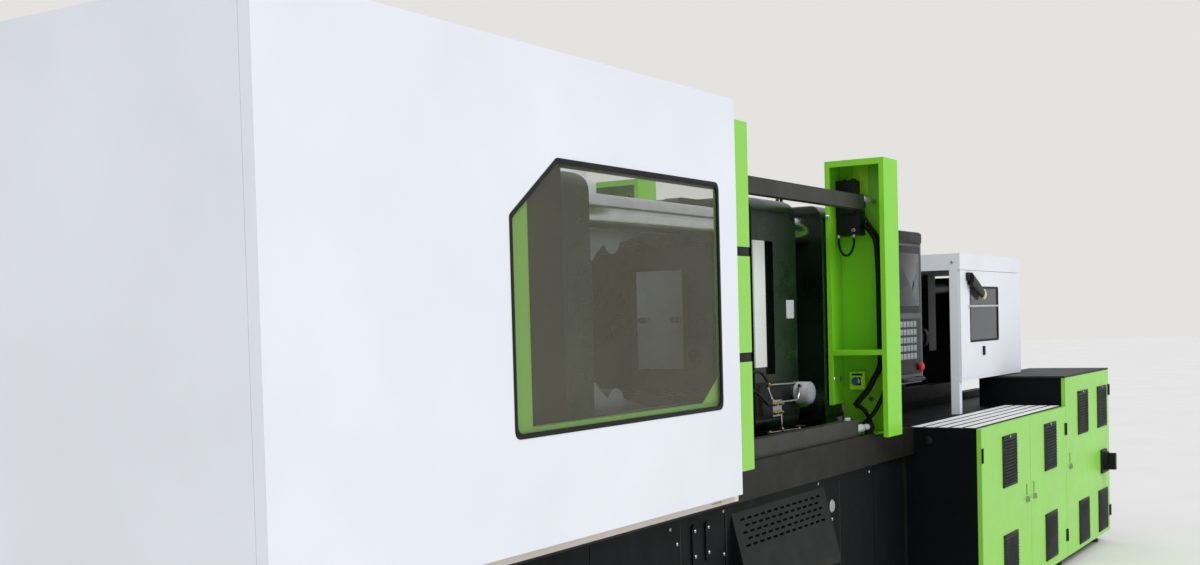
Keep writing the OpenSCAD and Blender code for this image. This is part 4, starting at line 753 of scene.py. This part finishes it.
class MOULD_OT_platen_fittings(bpy.types.Operator):
    """Plates on the moving platen's side and the grease distributor's lines and fittings."""

    bl_idname = "mould.platen_fittings"
    bl_label = "Platen fittings"

    def execute(self, context):
        side, body = -430, "moving_platen"
        cover = [pad((-410, side, 1374), "-y", 100, 470, 6, 2, 1)]
        piece("platen_cover_plate", cover, "plate", body)
        tag_x, tag_z, rivet = -124, 1353, [(2.5, 0), (2.2, 0.8), (1, 1.2)]
        tag = [pad((tag_x, side, tag_z), "-y", 72, 71, 1.5, 3, 0.5)]
        tag += [lathe((tag_x + sx * 30, side - 1.4, tag_z + sz * 29.5), "-y", rivet, 10)
                for sx in (-1, 1) for sz in (-1, 1)]
        piece("platen_blank_plate", tag, "label", body)
        self.grease_lines(to_mm(context.scene.machine_fittings.tube_r), body)
        self.canister(body)
        face = [pad((-255, -437.6, 1011.5), "-y", 371, 134, 1.2, 2, 0.6)]
        piece("grease_plate_face", face, "black", body)
        for name, points in GREASE_HOSES.items():
            cord(name, smooth_path(points), 6, body=body, across=(0.2, 0.1, 1))
        return {"FINISHED"}

    def grease_lines(self, tube_r, body):
        """Bent steel lines in one plane, with a brass union at each end."""
        y = -476
        lines = [
            [(-440, 1076), (-320, 1074), (-205, 1071)],
            [(-445, 1068), (-436, 1044), (-418, 1030), (-414, 1012)],
            [(-350, 1008), (-260, 1006), (-176, 1005), (-160, 1030), (-152, 1056)],
            [(-392, 994), (-340, 990), (-334, 968), (-332, 920), (-326, 906)],
            [(-456, 900), (-326, 898), (-196, 895), (-166, 894)],
        ]
        tubes = [tube(bend([(x, y, z) for x, z in line], 14), tube_r, 10) for line in lines]
        piece("grease_lines", tubes, "zinc", body, smooth=60)
        unions = [(-440, 1076), (-208, 1071), (-414, 1018), (-152, 1058), (-330, 905),
                  (-440, 900), (-170, 894)]
        outlets = [(-412, 1004), (-366, 1004), (-412, 972), (-366, 972)]
        waist = [(6, 0), (6, 4), (4.6, 5), (4.6, 14), (6, 15), (6, 19)]
        fittings = [lathe((x - 9, y, z), "+x", waist, 14) for x, z in unions]
        fittings += [lathe((x, -494, z), "-y", [(5, 0), (5, 5), (3, 7)], 12) for x, z in outlets]
        heads = [nut((x - 4, y, z), "+x", 8.5, 8) for x, z in unions]
        heads += [nut((x, -485, z), "-y", 9, 9) for x, z in outlets]
        piece("grease_fittings", fittings + heads, "brass", body)

    def canister(self, body):
        """Sleeve and domed cap over the grease canister."""
        x, z = -106, 1029
        sleeve = lathe((x, -446, z), "-y", [(41.5, 0), (42.8, 1), (42.8, 53), (41.5, 54)], 40)
        piece("grease_canister_sleeve", [sleeve], "label", body, smooth=40)
        cap = lathe((x, -499, z), "-y", [(42, 0), (39, 5), (30, 10), (15, 13), (1, 14)], 40)
        piece("grease_canister_cap", [cap], "key", body, smooth=60)


class MOULD_OT_rail_ends(bpy.types.Operator):
    """Bolts, nuts and bumpers at the rails' ends."""

    bl_idname = "mould.rail_ends"
    bl_label = "Rail ends"

    def execute(self, context):
        y, upper, lower, rail_top = -585, 1789, 869, 911
        sleeve = [(9, 0), (16.5, 1), (17, 4), (17, 78), (13, 86)]
        for tag, mirror in (("front", False), ("rear", True)):
            parts = [nut((x, y, upper), "+x", 18, 15) for x in (237, 254)]
            parts += [thread((270, y, upper), "+x", 12, 72, 4),
                      lathe((127, y, lower), "+x", sleeve),
                      thread((214, y, lower), "+x", 13, 56, 8)]
            for x in (42, 63):
                parts.append(lathe((x, y, rail_top), "+z", [(10, 0), (10, 2), (8, 2.4)]))
                parts.append(nut((x, y, rail_top + 2), "+z", 8.5, 8))
            piece("rail_bolts_" + tag, parts, "label", mirror=mirror)
            stud = [lathe((341, y, upper), "+x", [(9.7, 0), (9.7, 62)], 20)]
            piece("rail_stud_" + tag, stud, "zinc", mirror=mirror)
            buffer = [lathe((222, y, 1764), "+x", [(20, 0), (24, 3), (24, 22), (18, 30)])]
            piece("rail_buffer_" + tag, buffer, "rubber", mirror=mirror)
        return {"FINISHED"}


class MOULD_OT_column_fittings(bpy.types.Operator):
    """Plate, connectors, studs and the blank strip inside the front column."""

    bl_idname = "mould.column_fittings"
    bl_label = "Column fittings"

    def execute(self, context):
        web, box_face, button_y, button_z = 404, 360, -506, 1050
        # The plate wears lit_green, the column green made brighter as painted light.
        lit_green = [pad((web, -529.5, 1880), "-x", 65, 124, 3, 2, 0.8)]
        piece("column_plate_painted_light", lit_green, "lit_green")
        strip = [pad((box_face, -513, 1078), "-x", 45, 9, 1.2, 1, 0.4),
                 pad((box_face, -512, button_z), "-x", 34, 34, 0.8, 3, 0.3)]
        piece("button_strip", strip, "plastic")
        studs = []
        for x, y, z in ((246, -445, 1727), (340, -519, 1672)):
            studs.append(nut((x, y, z), "-x", 9, 7))
            studs.append(lathe((x - 7, y, z), "-x", [(6, 0), (6.5, 3), (6.5, 10), (4, 13)], 16))
        gland = [(7, 0), (8.5, 2), (8.5, 12), (6, 15)]
        studs += [lathe(end, "+z", gland, 16) for end in (SWITCH_LOOP[0], SWITCH_LOOP[-1])]
        studs.append(nut((web - 1, -562, 1703), "-x", 10, 8))
        studs.append(nut((web - 1, -559, 975), "-x", 11, 9))
        for x in (280, 358):
            studs += screw((x, -441, 1063), "-y", 8, True)
        piece("column_studs", studs, "zinc")
        caps = [lathe((384, y, 1876), "+z", [(10, 0), (11, 2), (9, 9)], 16) for y in (-466, -506)]
        piece("switch_caps", caps, "plastic")
        collar = [(14.2, 0), (17, 0), (18, 1), (18, 2), (14.2, 3)]
        ring = lathe((box_face - 0.8, button_y, button_z), "-x", collar, 32, loop=True)
        piece("button_collar", [ring], "zinc")
        return {"FINISHED"}


class MOULD_OT_base_fittings(bpy.types.Operator):
    """Screws, seams and the gauge cap on the clamp frame's side."""

    bl_idname = "mould.base_fittings"
    bl_label = "Base fittings"

    def execute(self, context):
        r, y = to_mm(context.scene.machine_fittings.screw_r), -600
        covers = [(x, y - 5, z) for x in (-1305, -1212) for z in (664, 584)]
        sheets = [(-1417, y, 639), (-1095, y, 700), (-1095, y, 560)]
        sheets += [(x, y, z) for x in (-2600, -2300, -1460) for z in (690, 120)]
        small = [(-162, y, 551), (-162, y, 412), (-295, y, 701), (240, y, 690)]
        cap = [(25, 0), (25, 4), (22, 6), (20, 4.5)]
        for tag, mirror in (("front", False), ("rear", True)):
            piece("base_screws_" + tag, screws(covers + sheets, "-y", r), "zinc", mirror=mirror)
            pale = screws(small, "-y", 6) + [lathe((-169, y, 602), "-y", cap, 32)]
            piece("base_caps_" + tag, pale, "zinc", mirror=mirror)
            seams = [pad((x, y, 410), "-y", 3, 560, 0.8, 0.5, 0.3)
                     for x in (-1395, -1076, -271, -86)]
            piece("base_seams_" + tag, seams, "rail", mirror=mirror)
        return {"FINISHED"}


class MOULD_OT_panel_front(bpy.types.Operator):
    """Display, blank keys, cap and bracket of the operator panel."""

    bl_idname = "mould.panel_front"
    bl_label = "Panel front"

    def execute(self, context):
        x, y, screen_z, keys_z, cap_z, body = 960, -527, 1476, 1176, 1664, "operator_panel"
        bezel = [pad((x, y, screen_z), "-y", 352, 300, 3, 10, 2),
                 pad((x, y, keys_z), "-y", 352, 250, 2, 10, 1.5)]
        piece("panel_bezel", bezel, "plastic", body)
        display = [pad((x, y - 3, screen_z), "-y", 312, 236, 1, 4, 0.5)]
        piece("panel_display", display, "screen", body)
        keys = [pad((x - 140 + 46 * i, y - 2, keys_z + 100 - 36 * j), "-y", 36, 26, 2.2, 4, 1)
                for j in range(5) for i in range(6)]
        piece("panel_keys", keys, "key", body)
        piece("panel_cap", [pad((x, y - 1, cap_z), "-y", 396, 50, 5, 16, 3)], "top", body)
        plate = [pad((x - 150, y - 6, cap_z), "-y", 54, 15, 1, 2, 0.4)]
        piece("panel_cap_plate", plate, "label", body)
        grip = bend([(800, y - 2, 1030), (800, y - 40, 1030), (1060, y - 40, 1030),
                     (1060, y - 2, 1030)], 22)
        piece("panel_grip", [tube(grip, 9, 14, (0, 0, 1))], "plastic", body, smooth=60)
        stand = [pad((860, -500, 1010), "-z", 60, 34, 22, 4, 2)]
        piece("panel_bracket", stand, "plastic", body)
        return {"FINISHED"}


def oval_rod(centres, radii, along):
    """Rod whose section is an oval, 0.55 times as deep in Y as it is high."""
    a = np.arange(20) * TURN / 20
    u = np.array([0, 1.0, 0])
    ring = np.cos(a)[:, None] * u * 0.55 + np.sin(a)[:, None] * np.cross(along, u)
    return skin(centres[:, None] + radii[:, None, None] * ring)


class MOULD_OT_guard_fittings(bpy.types.Operator):
    """Work lamp under the guard's band, the door's latch, its runner and the screws at the band's
    ends.
    """

    bl_idname = "mould.guard_fittings"
    bl_label = "Guard fittings"

    def execute(self, context):
        face, screw_z = -585, 1566
        start, tip = np.array([1684.0, -600, 1484]), np.array([1885.0, -600, 1414])
        along = (tip - start) / np.linalg.norm(tip - start)
        t = np.linspace(0, 1, 9)
        rod = oval_rod(start + (tip - start) * t[:, None],
                       np.interp(t, [0, 0.5, 1], [33, 30, 22]), along)
        foot = pad((1690, face - 1, 1496), "-y", 70, 40, 14, 5, 2)
        piece("guard_lamp_arm", [rod, foot], "plastic")
        reach = np.array([0, 8, 26, 32])[:, None]
        lens = oval_rod(tip + along * reach, np.array([22, 27, 26, 10]), along)
        piece("guard_lamp_lens", [lens], "lamp")
        runner = [pad((1940, face, 1352), "-y", 505, 9, 7, 2, 1)]
        piece("guard_runner", runner, "label", "guard_door")
        latch = [pad((1933, face, 1128), "-y", 24, 46, 9, 5, 2)]
        piece("guard_latch", latch, "plastic", "guard_door")
        ends = []
        for y in (-548, 0, 548):
            ends += screw((1561, y, screw_z), "-x", 7) + screw((2645, y, screw_z), "+x", 7)
        piece("guard_end_screws", ends, "zinc")
        return {"FINISHED"}


def lifting_eye(x, y, top):
    """Upright ring of round bar in the X and Z plane, on a round foot."""
    ring_r, bar_r, ring_z = 22, 7, top + 33
    a = np.arange(24) * TURN / 24
    ring = np.stack([x + ring_r * np.cos(a), np.full(24, y), ring_z + ring_r * np.sin(a)], -1)
    t = np.roll(ring, -1, 0) - np.roll(ring, 1, 0)
    t /= np.linalg.norm(t, axis=1, keepdims=True)
    v = np.cross(t, (0, 1, 0))
    b = np.arange(10) * TURN / 10
    section = np.cos(b)[:, None] * v[:, None] + np.sin(b)[:, None] * np.array([0, 1.0, 0])
    foot = lathe((x, y, top), "+z", [(18, 0), (18, 5), (9, 12)], 20)
    return [skin(ring[:, None] + bar_r * section, loop=True), foot]


class MOULD_OT_rear_fittings(bpy.types.Operator):
    """Screws on the pump cover and the covers, and lifting eyes on the platens."""

    bl_idname = "mould.rear_fittings"
    bl_label = "Rear fittings"

    def execute(self, context):
        pump_y, end_x, platen_top = 985, 3246, 1775
        rear = [(x, pump_y, z) for x in (1424, 2050, 2676) for z in (84, 676)]
        end = [(end_x, y, z) for y in (-440, 0, 560) for z in (110, 790)]
        piece("cover_screws", screws(rear, "+y", 7) + screws(end, "+x", 7), "zinc")
        for body, x in (("machine", 323), ("moving_platen", -258)):
            eyes = lifting_eye(x, -200, platen_top) + lifting_eye(x, 200, platen_top)
            piece("lifting_eyes_" + body, eyes, "rail", body, smooth=60)
        return {"FINISHED"}


class MOULD_OT_stage(bpy.types.Operator):
    """Floor, lights and the camera at the photograph's viewing angle."""

    bl_idname = "mould.stage"
    bl_label = "Stage"

    def execute(self, context):
        s = context.scene.machine_stage
        floor_colour = tuple(context.scene.machine_finish.floor)
        scene = context.scene
        scene.view_settings.view_transform = "Standard"
        # Floor with a plain, slightly uneven tone
        mat, tree, bsdf, coord = shader("Plain_floor", Roughness=0.9)
        tone = spread(tree, noise(tree, coord, 900, 3), 0.3, 0.7)
        tree.links.new(blend_colour(tree, tone, shade(floor_colour, 0.97), shade(floor_colour, 1.02)),
                       bsdf.inputs["Base Color"])
        u = np.linspace(-60, 60, 3)
        grid = np.stack(np.meshgrid(u, u, [0.0], indexing="ij"), -1)[:, :, 0]
        v, f = skin(grid, wrap=False, caps=False)
        mesh = bpy.data.meshes.new("floor")
        mesh.from_pydata(v.tolist(), [], [q[::-1] for q in f])
        mesh.materials.append(mat)
        floor = bpy.data.objects.new("floor", mesh)
        scene.collection.objects.link(floor)
        # Even sky for light, a plain pale tone where the camera sees it, also through panes
        world = bpy.data.worlds.new("Soft_studio")
        scene.world = world
        world.use_nodes = True
        tree = world.node_tree
        tree.nodes.clear()
        path = add(tree, "ShaderNodeLightPath")
        rays = {0: path.outputs["Is Camera Ray"], 1: path.outputs["Is Transmission Ray"]}
        seen = add(tree, "ShaderNodeMath", rays, operation="MAXIMUM")
        light = add(tree, "ShaderNodeBackground", {"Color": linear("#F4F6FA"), "Strength": s.sky})
        back = add(tree, "ShaderNodeBackground", {"Color": shade(floor_colour, 1.0), "Strength": 1.0})
        mix = add(tree, "ShaderNodeMixShader",
                  {0: seen.outputs[0], 1: light.outputs[0], 2: back.outputs[0]})
        add(tree, "ShaderNodeOutputWorld", {"Surface": mix.outputs[0]})
        # Soft key light from the operator's side
        sun = bpy.data.lights.new("key", "SUN")
        sun.energy = s.sun
        sun.angle = np.radians(25)
        lamp = bpy.data.objects.new("key", sun)
        lamp.matrix_world = aim((0.24, 0.62, -0.75), (0, 0, 1))
        scene.collection.objects.link(lamp)
        # Camera
        cam = bpy.data.cameras.new("camera")
        cam.lens = s.lens
        cam.sensor_width = 36
        cam.shift_x, cam.shift_y = 0.0348, 0.0734
        cam.clip_start, cam.clip_end = 0.05, 200
        obj = bpy.data.objects.new("camera", cam)
        place = (-5.233, -2.633, 1.3226)
        yaw, pitch, roll = np.radians([57.34, -1.90, -1.59])
        fwd = np.array([np.sin(yaw) * np.cos(pitch), np.cos(yaw) * np.cos(pitch), np.sin(pitch)])
        right = np.array([np.cos(yaw), -np.sin(yaw), 0])
        up = np.cross(right, fwd)
        r2 = right * np.cos(roll) + up * np.sin(roll)
        u2 = -right * np.sin(roll) + up * np.cos(roll)
        m = np.eye(4)
        m[:3, 0], m[:3, 1], m[:3, 2], m[:3, 3] = r2, u2, -fwd, place
        obj.matrix_world = Matrix(m.tolist())
        scene.collection.objects.link(obj)
        scene.camera = obj
        return {"FINISHED"}


def aim(direction, up):
    """Matrix that turns a lamp's -Z axis along a direction."""
    z = -np.array(direction, float)
    z /= np.linalg.norm(z)
    x = np.cross(np.array(up, float), z)
    x /= np.linalg.norm(x)
    m = np.eye(4)
    m[:3, 0], m[:3, 1], m[:3, 2] = x, np.cross(z, x), z
    return Matrix(m.tolist())


class MOULD_PT_panel(bpy.types.Panel):
    """Lists the steps that dress the machine."""

    bl_label = "Moulding Machine"
    bl_idname = "MOULD_PT_panel"
    bl_space_type = "VIEW_3D"
    bl_region_type = "UI"
    bl_category = "Moulding"

    def draw(self, context):
        for step in STEPS:
            self.layout.operator(step.bl_idname)


STEPS = (
    MOULD_OT_stage,
    MOULD_OT_finishes,
    MOULD_OT_leads,
    MOULD_OT_window_gaskets,
    MOULD_OT_door_trim,
    MOULD_OT_platen_fittings,
    MOULD_OT_rail_ends,
    MOULD_OT_column_fittings,
    MOULD_OT_base_fittings,
    MOULD_OT_panel_front,
    MOULD_OT_guard_fittings,
    MOULD_OT_cabinet_fittings,
    MOULD_OT_rear_fittings,
)
CLASSES = (MachineFinish, FittingSizes, StageSettings, *STEPS, MOULD_PT_panel)


def register():
    for cls in CLASSES:
        bpy.utils.register_class(cls)
    bpy.types.Scene.machine_finish = PointerProperty(type=MachineFinish)
    bpy.types.Scene.machine_fittings = PointerProperty(type=FittingSizes)
    bpy.types.Scene.machine_stage = PointerProperty(type=StageSettings)


def unregister():
    del bpy.types.Scene.machine_stage
    del bpy.types.Scene.machine_fittings
    del bpy.types.Scene.machine_finish
    for cls in reversed(CLASSES):
        bpy.utils.unregister_class(cls)


def main():
    register()
    for step in STEPS:
        group, name = step.bl_idname.split(".")
        getattr(getattr(bpy.ops, group), name)()


if __name__ == "__main__":
    main()
